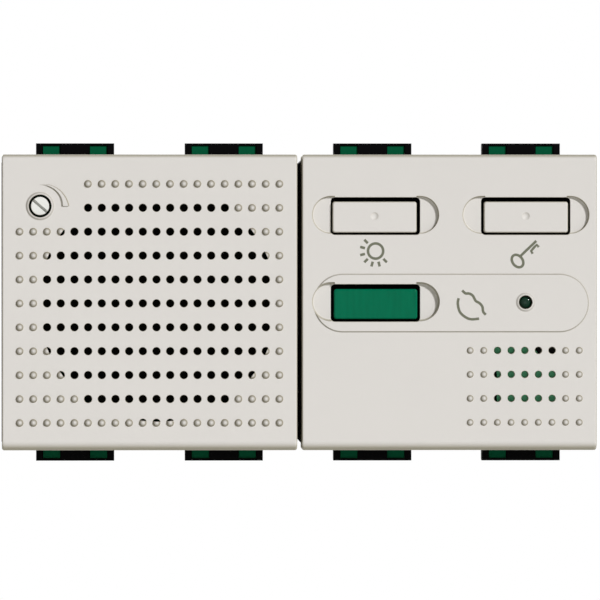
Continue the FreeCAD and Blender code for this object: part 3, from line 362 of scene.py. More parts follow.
class Tree:
    """A node tree, with short ways to add nodes and to join them."""

    def __init__(self, tree):
        self.nodes = tree.nodes
        self.links = tree.links

    def put(self, socket, value):
        """Joins a socket to another one, or sets its value."""
        if isinstance(value, bpy.types.NodeSocket):
            self.links.new(value, socket)
        else:
            socket.default_value = value

    def add(self, kind, settings=None, **inputs):
        """A node with its settings and inputs, where an input may be another node's output."""
        node = self.nodes.new(kind)
        for key, value in (settings or {}).items():
            setattr(node, key, value)
        for key, value in inputs.items():
            self.put(node.inputs[key.replace("_", " ")], value)
        return node

    def pair(self, kind, settings, first, second):
        """The result of a node that takes two values."""
        node = self.add(kind, settings)
        self.put(node.inputs[0], first)
        self.put(node.inputs[1], second)
        return node.outputs[0]

    def maths(self, operation, first, second=0.0):
        """The result of one sum."""
        return self.pair("ShaderNodeMath", {"operation": operation}, first, second)

    def coordinate(self, place, axis):
        """One coordinate of a place or direction."""
        return self.add("ShaderNodeSeparateXYZ", Vector=place).outputs[axis]

    def between(self, factor, low, high):
        """A number that follows a pattern between two values."""
        return self.add("ShaderNodeMapRange", Value=factor, To_Min=low, To_Max=high).outputs[0]

    def ramp(self, factor, low, high):
        """A pattern with its contrast raised between two levels."""
        return self.add("ShaderNodeMapRange", Value=factor, From_Min=low, From_Max=high).outputs[0]

    def blend(self, factor, *colours):
        """A colour that follows a pattern between two, each a plain one or another node's output."""
        node = self.add("ShaderNodeMix", {"data_type": "RGBA"})
        self.put(node.inputs[0], factor)
        for socket, colour in zip(node.inputs[6:8], colours):
            joined = isinstance(colour, bpy.types.NodeSocket)
            self.put(socket, colour if joined else (*colour, 1.0))
        return node.outputs[2]

    def seen(self):
        """One where the camera looks, also by a mirror or through glass, and nought elsewhere."""
        path = self.nodes.new("ShaderNodeLightPath").outputs
        mirrored = self.maths("MAXIMUM", path["Is Camera Ray"], path["Is Glossy Ray"])
        return self.maths("MAXIMUM", mirrored, path["Is Transmission Ray"])


# What repeats: a piece set out in rows, inside or outside a region


def repeat_tree():
    """The tree that sets its own geometry out in rows and keeps the places in or out of a region."""
    group = bpy.data.node_groups.get("Places in rows")
    if group:
        return group
    group = bpy.data.node_groups.new("Places in rows", "GeometryNodeTree")
    sockets = (
        ("Geometry", ("Geometry",)),
        ("Int", ("Columns", "Rows", "Skip Columns", "Skip Rows")),
        ("Float", (
            "Column Pitch", "Row Pitch", "First X", "First Z", "Region X", "Region Z",
            "Disc Radius", "Region Half", "Band Z", "Band Half Height", "Band Half Length")),
        ("Bool", ("Keep Inside",)),
        ("Material", ("Material",)),
    )
    for kind, names in sockets:
        for name in names:
            group.interface.new_socket(name, in_out="INPUT", socket_type="NodeSocket" + kind)
    group.interface.new_socket("Geometry", in_out="OUTPUT", socket_type="NodeSocketGeometry")
    tree = Tree(group)
    maths = tree.maths
    inputs = tree.nodes.new("NodeGroupInput").outputs

    def both(operation, first, second):
        """The result of one logical step."""
        return tree.pair("FunctionNodeBooleanMath", {"operation": operation}, first, second)

    def below(first, second):
        """Whether one number is below another."""
        settings = {"data_type": "FLOAT", "operation": "LESS_THAN"}
        return tree.pair("FunctionNodeCompare", settings, first, second)

    index = tree.nodes.new("GeometryNodeInputIndex").outputs[0]
    row = maths("FLOOR", maths("DIVIDE", maths("ADD", index, 0.5), inputs["Columns"]))
    column = maths("SUBTRACT", index, maths("MULTIPLY", row, inputs["Columns"]))
    x = maths("ADD", inputs["First X"], maths("MULTIPLY", column, inputs["Column Pitch"]))
    z = maths("SUBTRACT", inputs["First Z"], maths("MULTIPLY", row, inputs["Row Pitch"]))
    across = maths("ABSOLUTE", maths("SUBTRACT", x, inputs["Region X"]))
    up = maths("ABSOLUTE", maths("SUBTRACT", z, inputs["Region Z"]))
    distance = maths("SQRT", maths("ADD", maths("MULTIPLY", across, across), maths("MULTIPLY", up, up)))
    in_flats = both("AND", below(across, inputs["Region Half"]), below(up, inputs["Region Half"]))
    in_disc = both("AND", below(distance, inputs["Disc Radius"]), in_flats)
    off_band = maths("ABSOLUTE", maths("SUBTRACT", up, inputs["Band Z"]))
    level_with = below(off_band, inputs["Band Half Height"])
    in_band = both("AND", level_with, below(across, inputs["Band Half Length"]))
    wrong_side = both("XOR", both("OR", in_disc, in_band), inputs["Keep Inside"])
    skipped = both("AND", below(column, inputs["Skip Columns"]), below(row, inputs["Skip Rows"]))

    count_all = maths("MULTIPLY", inputs["Columns"], inputs["Rows"])
    place = tree.add("ShaderNodeCombineXYZ", X=x, Z=z).outputs[0]
    points = tree.add("GeometryNodePoints", Count=count_all, Position=place)
    # Deleting reads the places before any is gone, so the index still counts them all.
    kept = tree.add(
        "GeometryNodeDeleteGeometry", {"domain": "POINT"},
        Geometry=points.outputs[0], Selection=both("OR", wrong_side, skipped))
    copies = tree.add("GeometryNodeInstanceOnPoints", Points=kept.outputs[0], Instance=inputs["Geometry"])
    real = tree.add("GeometryNodeRealizeInstances", Geometry=copies.outputs[0])
    coat = tree.add("GeometryNodeSetMaterial", Geometry=real.outputs[0], Material=inputs["Material"])
    tree.add("NodeGroupOutput", Geometry=coat.outputs[0])
    return group


def set_out(obj, material, **values):
    """Repeats an object's mesh in rows and keeps the result as its plain mesh."""
    group = repeat_tree()
    modifier = obj.modifiers.new("Rows", "NODES")
    modifier.node_group = group
    settings = {"Material": material, **values}
    for item in group.interface.items_tree:
        key = item.name.replace(" ", "_")
        if item.in_out == "INPUT" and key in settings:
            modifier[item.identifier] = settings[key]
    settle(obj)


# A dot's radius and rise from its foot to its crest, as shares of the whole.
DOT_PROFILE = ((1.0, -0.3), (1.0, 0.0), (0.8, 0.42), (0.5, 0.76), (0.2, 0.95), (0.04, 1.0))


def dome_piece(name, radius, height, y):
    """A steep raised dot about the origin of the front view, a little sunk so that it joins the plate."""
    rings = [
        at(circle(0, 0, radius * across, DOT_SIDES), y - height * rise)
        for across, rise in reversed(DOT_PROFILE)]
    return piece(name, rings)


def punch(name, points_at, y0, y1, flare):
    """A cutter through a face at y0, slightly wider at its mouth so that the edge is eased."""
    mouth = points_at(flare)
    way = points_at(0)
    rings = [at(mouth, y0 - MM), at(mouth, y0), at(way, y0 + flare), at(way, y1)]
    return piece(name, rings)


def drill(name, cx, cz, radius, sides, y0, y1, flare):
    """A round cutter."""
    return punch(name, lambda more: circle(cx, cz, radius + more, sides), y0, y1, flare)


# Materials


class Surface(Tree):
    """A material's nodes, read in the object's own coordinates."""

    def __init__(self, name):
        self.material = bpy.data.materials.new(name)
        self.material.use_nodes = True
        super().__init__(self.material.node_tree)
        self.shader = self.nodes["Principled BSDF"]
        self.place = self.nodes.new("ShaderNodeTexCoord").outputs["Object"]

    def set(self, **inputs):
        """Sets sockets of the shader itself."""
        for key, value in inputs.items():
            self.put(self.shader.inputs[key.replace("_", " ")], value)

    def stretched(self, x, y, z):
        """The object's coordinates, scaled along each axis."""
        return self.add("ShaderNodeMapping", Vector=self.place, Scale=(x, y, z)).outputs[0]

    def noise(self, size, detail=2.0, place=None):
        """A noise whose grains are about a given size."""
        node = self.add("ShaderNodeTexNoise", Vector=place or self.place, Scale=1 / size, Detail=detail)
        return node.outputs["Fac"]

    def relief(self, height, depth):
        """Bumps the surface by a pattern."""
        node = self.add("ShaderNodeBump", Height=height, Distance=depth)
        self.put(self.shader.inputs["Normal"], node.outputs[0])


# Depth over which a finish lightens towards the front.
LIT_DEPTH = 0.2 * MM


def lit_front(material, colour, edge):
    """Lightens a finish in front of a depth, where light falls in."""
    tree = Tree(material.node_tree)
    base = tree.nodes["Principled BSDF"].inputs["Base Color"]
    depth = tree.coordinate(tree.nodes["Texture Coordinate"].outputs["Object"], "Y")
    front = tree.ramp(depth, edge, edge - LIT_DEPTH)
    tree.put(base, tree.blend(front, base.links[0].from_socket, colour))


def shades(colour, spread):
    """A darker and a lighter shade of a colour."""
    return [c * (1 - spread) for c in colour], [min(c * (1 + spread), 1.0) for c in colour]


def scaled(colour, shares):
    """A colour with a share of each of its parts."""
    return [c * share for c, share in zip(colour, shares)]


# Painted shade: the share of each colour kept on the steep flanks of grey plastic beside its front,
# and a smaller share on the flanks of what stands up from the plate's face.
PAINTED_FLANK_SHADE = (0.66, 0.64, 0.55)
PAINTED_RAISED_SHADE = (0.42, 0.4, 0.33)
# How far above the face the darker painted shade of raised flanks begins, and where it is full.
RAISED_FROM = 0.02 * MM
RAISED_FULL = 0.1 * MM
# A face so far in front that nothing rises above it.
NEVER_RAISED = -1.0
# How much a skin looks forwards or backwards where its painted shade is still full, and where it has none.
FLANK_TURN = 0.7
FACE_TURN = 0.98


def moulded(name, colour, roughness=0.45, grain=0.12, depth=0.004, spread=0.015, specular=0.5, face=None):
    """Moulded plastic: a fine spark-eroded grain over slow, faint changes of tone.

    With a face's depth, its flanks are painted darker as shade, and most so where they rise above that
    face.
    """
    surface = Surface(name)
    slow = surface.noise(9 * MM)
    fine = surface.noise(grain * MM, 3.0)
    tone = surface.blend(slow, *shades(colour, spread))
    # Painted shade: skins that turn away from the front get a darker colour, raised ones darker still.
    if face is not None:
        depth_here = surface.coordinate(surface.place, "Y")
        raised = surface.ramp(depth_here, face - RAISED_FROM, face - RAISED_FULL)
        side = surface.blend(raised, scaled(colour, PAINTED_FLANK_SHADE), scaled(colour, PAINTED_RAISED_SHADE))
        normal = surface.nodes.new("ShaderNodeNewGeometry").outputs["Normal"]
        facing = surface.maths("ABSOLUTE", surface.coordinate(normal, "Y"))
        tone = surface.blend(surface.ramp(facing, FLANK_TURN, FACE_TURN), side, tone)
    surface.set(
        Base_Color=tone,
        Roughness=surface.between(fine, roughness - 0.06, roughness + 0.06),
        Specular_IOR_Level=specular)
    surface.relief(fine, depth * MM)
    return surface.material


def glossy(name, colour, roughness=0.16, coat=0.5, specular=0.5, spread=0.06):
    """Polished plastic with a soft orange-peel ripple and faint upright flow lines."""
    surface = Surface(name)
    lines = surface.noise(0.7 * MM, 3.0, surface.stretched(1.0, 1.0, 0.12))
    ripple = surface.noise(1.2 * MM)
    surface.set(
        Base_Color=surface.blend(lines, *shades(colour, spread)),
        Roughness=surface.between(ripple, roughness - 0.04, roughness + 0.06),
        Specular_IOR_Level=specular,
        Coat_Weight=coat,
        Coat_Roughness=0.08)
    surface.relief(ripple, 0.006 * MM)
    return surface.material


def metal(name, colour, roughness=0.3, brushed=(1.0, 1.0, 1.0), grain=0.1):
    """Bare or plated metal with a directional grain."""
    surface = Surface(name)
    place = surface.stretched(*brushed)
    lines = surface.noise(grain * MM, 4.0, place)
    slow = surface.noise(4 * MM)
    surface.set(
        Base_Color=surface.blend(slow, *shades(colour, 0.08)),
        Metallic=1.0,
        Roughness=surface.between(lines, roughness - 0.1, roughness + 0.12))
    surface.relief(lines, 0.004 * MM)
    return surface.material


# Length of one band of a Wave texture at a scale of 1.
WAVE_BAND = 0.314


def weave(name, colour, pitch=0.28, depth=0.05):
    """Woven acoustic cloth: warp and weft that rise in turn."""
    surface = Surface(name)
    waves = []
    for direction in ("X", "Z"):
        node = surface.add(
            "ShaderNodeTexWave",
            {"wave_type": "BANDS", "bands_direction": direction, "wave_profile": "SIN"},
            Vector=surface.place, Scale=WAVE_BAND / (pitch * MM),
            Distortion=0.4, Detail=1.0, Detail_Scale=2.0)
        waves.append(node.outputs["Fac"])
    pattern = surface.maths("MULTIPLY", *waves)
    surface.set(
        Base_Color=surface.blend(pattern, [c * 0.3 for c in colour], colour),
        Roughness=0.95,
        Specular_IOR_Level=0.02)
    surface.relief(pattern, depth * MM)
    return surface.material


def laminate(name, colour):
    """Circuit board: solder mask over faint copper tracks and pads."""
    surface = Surface(name)
    cells = surface.add(
        "ShaderNodeTexBrick", {"offset": 0.5, "squash": 1.0},
        Vector=surface.stretched(1.0, 0.0, 1.0), Scale=1 / (2.4 * MM), Mortar_Size=0.03, Mortar_Smooth=0.2,
        Brick_Width=1.7, Row_Height=0.8)
    broken = surface.ramp(surface.noise(3.2 * MM), 0.46, 0.52)
    mask = surface.maths("MULTIPLY", cells.outputs["Fac"], broken)
    copper = [c * 2.2 + 0.01 for c in colour]
    surface.set(
        Base_Color=surface.blend(mask, colour, copper),
        Roughness=surface.between(surface.noise(0.6 * MM), 0.28, 0.4))
    surface.relief(mask, 0.02 * MM)
    return surface.material


def fibrous(name, colour, roughness=0.9, size=0.25, depth=0.03):
    """Pressed paper, foam or rubber: a soft irregular skin."""
    surface = Surface(name)
    fibres = surface.noise(size * MM, 6.0)
    surface.set(
        Base_Color=surface.blend(fibres, *shades(colour, 0.3)),
        Roughness=surface.between(fibres, roughness - 0.1, min(roughness + 0.05, 1.0)),
        Specular_IOR_Level=0.2)
    surface.relief(fibres, depth * MM)
    return surface.material


def printed(name, colour):
    """Pad-printed ink, a little uneven."""
    surface = Surface(name)
    speckle = surface.noise(0.15 * MM, 3.0)
    surface.set(
        Base_Color=surface.blend(speckle, *shades(colour, 0.08)),
        Roughness=surface.between(speckle, 0.5, 0.65),
        Specular_IOR_Level=0.3)
    surface.relief(speckle, 0.003 * MM)
    return surface.material


class Finishes:
    """The materials, made once."""

    made = {}

    @classmethod
    def get(cls, name):
        """One material by the record's slot name."""
        if not cls.made:
            cls.make()
        return cls.made[name]

    @classmethod
    def make(cls):
        """Makes every material from the panel's colours."""
        colours = bpy.context.scene.chime_colours
        plate = tuple(colours.plate)
        black = tuple(colours.housing)
        face = -bpy.context.scene.chime_plate.front
        cls.made.update({
            # The plate and the grey keys get painted shade on their flanks; only the plate's raised flanks
            # get the darker one.
            "grey_plastic": moulded("Plate plastic", plate, specular=0.07, face=face),
            "key_grey_plastic": moulded(
                "Key plastic", plate, roughness=0.4, specular=0.07, face=NEVER_RAISED),
            "green_gloss_plastic": glossy(
                "Talk key plastic", tuple(colours.talk), roughness=0.2, coat=0.0, specular=0.04,
                spread=0.16),
            "green_chassis_plastic": moulded(
                "Chassis plastic", tuple(colours.chassis), roughness=0.5, specular=0.03),
            "black_plastic": moulded(
                "Housing plastic", black, roughness=0.5, grain=0.2, depth=0.008, spread=0.1, specular=0.02),
            # Painted shade: black for a key's sides and lip behind its front, which lie in shade deep in
            # the opening.
            "skirt_plastic": moulded(
                "Key skirt of painted shade", black, roughness=0.6, grain=0.2, spread=0.1, specular=0.01),
            "trimmer_plastic": moulded(
                "Trimmer plastic", tuple(colours.trimmer), roughness=0.35, specular=0.1),
            "lens_green": glossy(
                "Status lens", tuple(colours.lens), roughness=0.08, coat=0.0, specular=0.16),
            "black_cloth": weave("Grille cloth", (0.009, 0.01, 0.009)),
            "black_rubber": fibrous(
                "Microphone rubber", (0.012, 0.012, 0.012), roughness=0.75, size=0.2, depth=0.01),
            "gasket_foam": fibrous(
                "Gasket foam", (0.03, 0.03, 0.03), roughness=0.95, size=0.12, depth=0.05),
            "cone_paper": fibrous("Cone paper", (0.035, 0.032, 0.03)),
            "plated_steel": metal("Plated steel", (0.62, 0.6, 0.55), brushed=(1.0, 12.0, 1.0)),
            "ferrite": fibrous("Ferrite", (0.05, 0.05, 0.055), roughness=0.6, size=0.3, depth=0.02),
            "copper": metal("Copper", (0.75, 0.36, 0.2)),
            "board_laminate": laminate("Board laminate", tuple(colours.board)),
            "chip_black": moulded(
                "Chip resin", (0.02, 0.02, 0.022), roughness=0.6, grain=0.08, spread=0.1, specular=0.3),
            "terminal_plastic": moulded("Terminal plastic", (0.03, 0.13, 0.09), grain=0.15),
            "switch_plastic": moulded(
                "Switch plastic", (0.03, 0.03, 0.032), roughness=0.4, grain=0.1, depth=0.003, spread=0.1),
            "plunger_plastic": moulded("Plunger plastic", (0.55, 0.5, 0.42), roughness=0.4),
            "lamp_resin": glossy("Lamp resin", (0.75, 0.72, 0.55), roughness=0.2, coat=0.3),
            "ink": printed("Sign ink", tuple(colours.ink)),
        })


# Plates


def plate_shell(name, node, sizes):
    """A plate with its rounded front edges, hollow behind, with the place of its middle."""
    low, high, cx, cz = middle(node)
    width = high.x - low.x
    height = high.z - low.z
    front = -sizes.front
    depths = {0.0, high.y - front}
    for radius, steps in ((sizes.bottom_round, 12), (sizes.top_round, 8), (sizes.side_round, 4)):
        for step in range(1, steps + 1):
            depths.add(round(radius * (1 - math.cos(math.radians(90 * step / steps))), 7))

    def inset(radius, depth):
        """How far a rounded edge has drawn in at a depth."""
        return 0.0 if depth >= radius else radius - math.sqrt(radius ** 2 - (radius - depth) ** 2)

    rings = []
    for depth in sorted(depths):
        side = inset(sizes.side_round, depth)
        top = inset(sizes.top_round, depth)
        bottom = inset(sizes.bottom_round, depth)
        ring = outline(
            cx, cz + (bottom - top) / 2, width - 2 * side, height - top - bottom, sizes.corner_round)
        rings.append(at(ring, front + depth))
    inside = outline(
        cx, cz, width - 2 * sizes.side_wall, height - 2 * sizes.side_wall, sizes.corner_round / 2)
    rings.append(at(inside, high.y))
    rings.append(at(inside, front + sizes.front_wall))
    return piece(name, rings), cx


# A raised rim's flat crest, and its slope outwards from there as shares of its reach and rise.
RIM_CREST = 0.1 * MM
RIM_PROFILE = ((0.0, 1.0), (0.15, 0.96), (0.5, 0.55), (0.85, 0.1), (1.0, 0.0), (1.0, -1.0))


def rim_piece(name, cx, cz, hole, outer, y, rise):
    """A low raised ring that slopes down outwards, a little sunk into the plate; its hole is cut later."""
    crest = hole / 2 + RIM_CREST
    reach = outer / 2 - crest
    rings = [at(circle(cx, cz, crest + reach * out, RIM_SIDES), y - rise * up) for out, up in RIM_PROFILE]
    return piece(name, rings)


# The volume mark: its steps, its least width as a share of the whole, and its slopes and rise
# as shares of its width.
MARK_STEPS = 24
MARK_LEAST = 0.06
MARK_SLOPE = 0.32
MARK_SLOPE_MOST = 0.3 * MM
MARK_RISE = 0.6


def volume_mark(cx, sizes, front):
    """The raised wedge that widens from quiet to loud, round the upper right of the trimmer."""
    mid_x = cx + sizes.x
    rings = []
    for step in range(MARK_STEPS + 1):
        share = step / MARK_STEPS
        angle = math.radians(90 * (1 - share))
        width = (sizes.mark_outer - sizes.mark_inner) * max(share, MARK_LEAST)
        slope = min(width * MARK_SLOPE, MARK_SLOPE_MOST)
        rise = min(sizes.mark_height, width * MARK_RISE)
        inner = sizes.mark_inner
        outer = sizes.mark_inner + width
        section = (
            (inner, -rise), (inner, 0.0), (inner + slope, rise),
            (outer - slope * 0.6, rise), (outer, 0.0), (outer, -rise))
        rings.append([
            (mid_x + reach * math.cos(angle), front - up, sizes.z + reach * math.sin(angle))
            for reach, up in section])
    return piece("volume_mark", rings)


# How much wider the grille's holes and the other openings are at their eased mouths.
GRILLE_EASING = 0.05 * MM
OPENING_EASING = 0.06 * MM
# How far a hole's cutter reaches into the pocket behind it.
HOLE_REACH = 0.2 * MM
# Width in columns, and height, of what opens the middle of the last row.
LOW_COLUMNS = 3
LOW_HEIGHT = 2 * MM


class CHIME_OT_speaker_cover(bpy.types.Operator):
    """Makes the loudspeaker's plate: grille, raised dots, trimmer rim and volume mark"""

    bl_idname = "chime.speaker_cover"
    bl_label = "Speaker cover"

    def execute(self, context):
        scene = context.scene
        sizes = scene.chime_plate
        grille = scene.chime_grille
        trimmer = scene.chime_trimmer
        front = -sizes.front
        pocket_front = front + sizes.web
        back = front + 2 * sizes.front_wall
        material = Finishes.get("grey_plastic")
        cover, cx = plate_shell("speaker_cover_plate", "speaker_cover", sizes)
        disc_x = cx + grille.centre_x
        radius = grille.hole / 2
        rows = dict(
            Columns=grille.columns, Rows=grille.rows,
            Skip_Columns=grille.short_columns, Skip_Rows=grille.short_rows,
            Column_Pitch=grille.column_pitch, Row_Pitch=grille.row_pitch,
            First_X=cx - (grille.columns - 1) / 2 * grille.column_pitch,
            First_Z=grille.centre_z + (grille.rows - 1) / 2 * grille.row_pitch,
            Region_X=disc_x, Region_Z=grille.centre_z,
            Band_Z=grille.band_rows * grille.row_pitch,
            Band_Half_Height=grille.band_height / 2, Band_Half_Length=grille.band_reach)

        dots = dome_piece("speaker_dots", radius, grille.dot_height, front)
        set_out(
            dots, material, Disc_Radius=grille.disc - radius, Region_Half=grille.flat - radius,
            Keep_Inside=False, **rows)
        combine(cover, dots, "UNION")
        rim_x = cx + trimmer.x
        rim = rim_piece(
            "trimmer_rim", rim_x, trimmer.z, trimmer.hole, trimmer.rim, front, trimmer.rim_height)
        combine(cover, rim, "UNION")
        combine(cover, volume_mark(cx, trimmer, front), "UNION")

        holes = drill(
            "speaker_holes", 0, 0, radius, HOLE_SIDES, front, pocket_front + HOLE_REACH, GRILLE_EASING)
        set_out(
            holes, material, Disc_Radius=grille.disc + radius, Region_Half=grille.foot + radius,
            Keep_Inside=True, **rows)
        combine(holes, self.region(disc_x, grille, front - MM, front + 2 * sizes.web), "INTERSECT")
        combine(cover, holes, "DIFFERENCE")
        combine(cover, self.region(disc_x, grille, pocket_front, back), "DIFFERENCE")
        hole = drill(
            "trimmer_hole", rim_x, trimmer.z, trimmer.hole / 2, TRIMMER_HOLE_SIDES,
            front - trimmer.rim_height, back, GRILLE_EASING)
        combine(cover, hole, "DIFFERENCE")
        crease(cover)
        finish_piece(cover, "chime", "grey_plastic", "speaker_cover")
        return {"FINISHED"}

    @staticmethod
    def region(disc_x, grille, y0, y1):
        """The trimmed disc behind the open holes, its foot, and the slots that open two rows further."""
        disc_z = grille.centre_z
        side = 2 * grille.flat
        region = prism("speaker_region", circle(disc_x, disc_z, grille.disc, DISC_SIDES), y0, y1)
        combine(region, block("speaker_flats", disc_x, disc_z, side, side, y0 - MM, y1 + MM), "INTERSECT")
        foot = prism("speaker_foot", circle(disc_x, disc_z, grille.foot, DISC_SIDES), y0, y1)
        low = block(
            "speaker_low", disc_x, disc_z - grille.flat, LOW_COLUMNS * grille.column_pitch, LOW_HEIGHT,
            y0 - MM, y1 + MM)
        combine(foot, low, "INTERSECT")
        combine(region, foot, "UNION")
        for way in (-1, 1):
            slot_z = disc_z + way * grille.band_rows * grille.row_pitch
            slot = block(
                "speaker_slot", disc_x, slot_z, 2 * grille.band_reach, grille.band_height, y0, y1)
            combine(region, slot, "UNION")
        return region


# Corner radius of the microphone's pocket.
POCKET_CORNER = 0.3 * MM


class CHIME_OT_key_cover(bpy.types.Operator):
    """Makes the key module's plate: scoops, openings, platform, light rim and microphone grille"""

    bl_idname = "chime.key_cover"
    bl_label = "Key cover"

    def execute(self, context):
        scene = context.scene
        sizes = scene.chime_plate
        keys = scene.chime_keys
        panel = scene.chime_panel
        front = -sizes.front
        pocket_front = front + sizes.web
        back = front + 2 * sizes.front_wall
        material = Finishes.get("grey_plastic")
        cover, cx = plate_shell("key_cover_plate", "key_cover", sizes)

        rise = panel.platform_rise
        platform_y = front - rise
        rings = []
        for more, y in ((-rise, platform_y), (0, front - rise * 0.2), (0, front + rise)):
            ring = outline(
                cx + panel.platform_x, keys.talk_z, panel.platform_length + 2 * more,
                panel.platform_height + 2 * more, panel.platform_height / 2 + more, 16)
            rings.append(at(ring, y))
        combine(cover, piece("platform", rings), "UNION")
        light_x = cx + panel.light_x
        rim = rim_piece(
            "light_rim", light_x, panel.light_z, panel.light_hole, panel.light_rim,
            platform_y, panel.light_rim_height)
        combine(cover, rim, "UNION")

        radius = panel.mic_hole / 2
        first_x = cx + panel.mic_x
        last_open = panel.mic_open_first + panel.mic_open_columns - 1
        open_x = first_x + (panel.mic_open_first + last_open) / 2 * panel.mic_column_pitch
        open_z = panel.mic_z - (panel.mic_open_rows - 1) / 2 * panel.mic_row_pitch
        rows = dict(
            Columns=panel.mic_columns, Rows=panel.mic_rows,
            Column_Pitch=panel.mic_column_pitch, Row_Pitch=panel.mic_row_pitch,
            First_X=first_x, First_Z=panel.mic_z, Region_X=open_x, Region_Z=open_z,
            Band_Half_Height=panel.mic_open_rows / 2 * panel.mic_row_pitch,
            Band_Half_Length=panel.mic_open_columns / 2 * panel.mic_column_pitch)
        dots = dome_piece("mic_dots", radius, panel.mic_dot_height, front)
        set_out(dots, material, Keep_Inside=False, **rows)
        combine(cover, dots, "UNION")

        places = key_places(keys, cx)
        for _, key_x, key_z, *_ in places:
            combine(cover, scoop(key_x, key_z + keys.scoop_up, keys, front), "DIFFERENCE")
        for _, key_x, key_z, *_ in places:
            opening = punch(
                "key_opening",
                lambda more: outline(
                    key_x, key_z, keys.opening_width + 2 * more, keys.opening_height + 2 * more,
                    keys.opening_round + more),
                front + OPENING_EASING, back, OPENING_EASING)
            combine(cover, opening, "DIFFERENCE")
        light = drill(
            "light_hole", light_x, panel.light_z, panel.light_hole / 2, LIGHT_HOLE_SIDES,
            platform_y - panel.light_rim_height, back, OPENING_EASING)
        combine(cover, light, "DIFFERENCE")
        holes = drill(
            "mic_holes", 0, 0, radius, HOLE_SIDES, front, pocket_front + HOLE_REACH, OPENING_EASING)
        set_out(holes, material, Keep_Inside=True, **rows)
        combine(cover, holes, "DIFFERENCE")
        pocket = outline(
            open_x, open_z,
            (panel.mic_open_columns - 1) * panel.mic_column_pitch + panel.mic_hole + 2 * panel.mic_margin,
            (panel.mic_open_rows - 1) * panel.mic_row_pitch + panel.mic_hole + 2 * panel.mic_margin,
            POCKET_CORNER)
        combine(cover, prism("mic_pocket", pocket, pocket_front, back), "DIFFERENCE")
        crease(cover)
        finish_piece(cover, "chime", "grey_plastic", "key_cover")
        return {"FINISHED"}


def key_places(keys, cx):
    """Name, opening's middle, size and sideways shift of each key's cap."""
    return [
        ("light_key", cx + keys.left_x, keys.upper_z, keys.width, keys.height, keys.light_shift),
        ("lock_key", cx + keys.right_x, keys.upper_z, keys.width, keys.height, 0.0),
        ("talk_key", cx + keys.left_x, keys.talk_z, keys.talk_width, keys.talk_height, 0.0),
    ]


# A scoop's rounded foot and eased lip, how far its cutter stands out in front, the steps of the foot,
# and half the depth of what leaves the plate's face full above and below an opening.
SCOOP_FOOT = 0.25 * MM
SCOOP_LIP = 0.05 * MM
SCOOP_SPREAD = 0.6 * MM
SCOOP_FRONT = 1.2 * MM
SCOOP_STEPS = 5
FULL_FACE = 3 * MM


def scoop(cx, cz, keys, front):
    """The cutter of a finger scoop: an eased mouth, steep sides and a rounded foot."""
    foot_y = keys.scoop_depth - SCOOP_FOOT
    profile = [
        (SCOOP_LIP + SCOOP_SPREAD, -SCOOP_FRONT), (SCOOP_LIP, 0.0), (0.0, SCOOP_LIP), (0.0, foot_y)]
    for step in range(1, SCOOP_STEPS + 1):
        angle = math.radians(90 / SCOOP_STEPS * step)
        profile.append((-SCOOP_FOOT * (1 - math.cos(angle)), foot_y + SCOOP_FOOT * math.sin(angle)))
    rings = []
    for more, y in profile:
        ring = outline(
            cx, cz, keys.scoop_length + 2 * more, keys.scoop_height + 2 * more,
            keys.scoop_height / 2 + more, 14)
        rings.append(at(ring, front + y))
    cutter = piece("scoop", rings)
    # The plate keeps its full face above and below the opening.
    between = block(
        "between", cx, cz, keys.opening_width - 2 * keys.opening_round, 2 * keys.scoop_height,
        front - FULL_FACE, front + FULL_FACE)
    combine(cutter, between, "DIFFERENCE")
    return cutter


# Steps of a key's eased edge, and the corner radius of its hollow and stem.
EDGE_STEPS = 6
HOLLOW_CORNER = 0.15 * MM
# The tactile hollow: its steps, and how its cutter stands wider and in front.
BOWL_STEPS = 6
BOWL_SPREAD = 1.2
BOWL_FRONT = 0.05 * MM


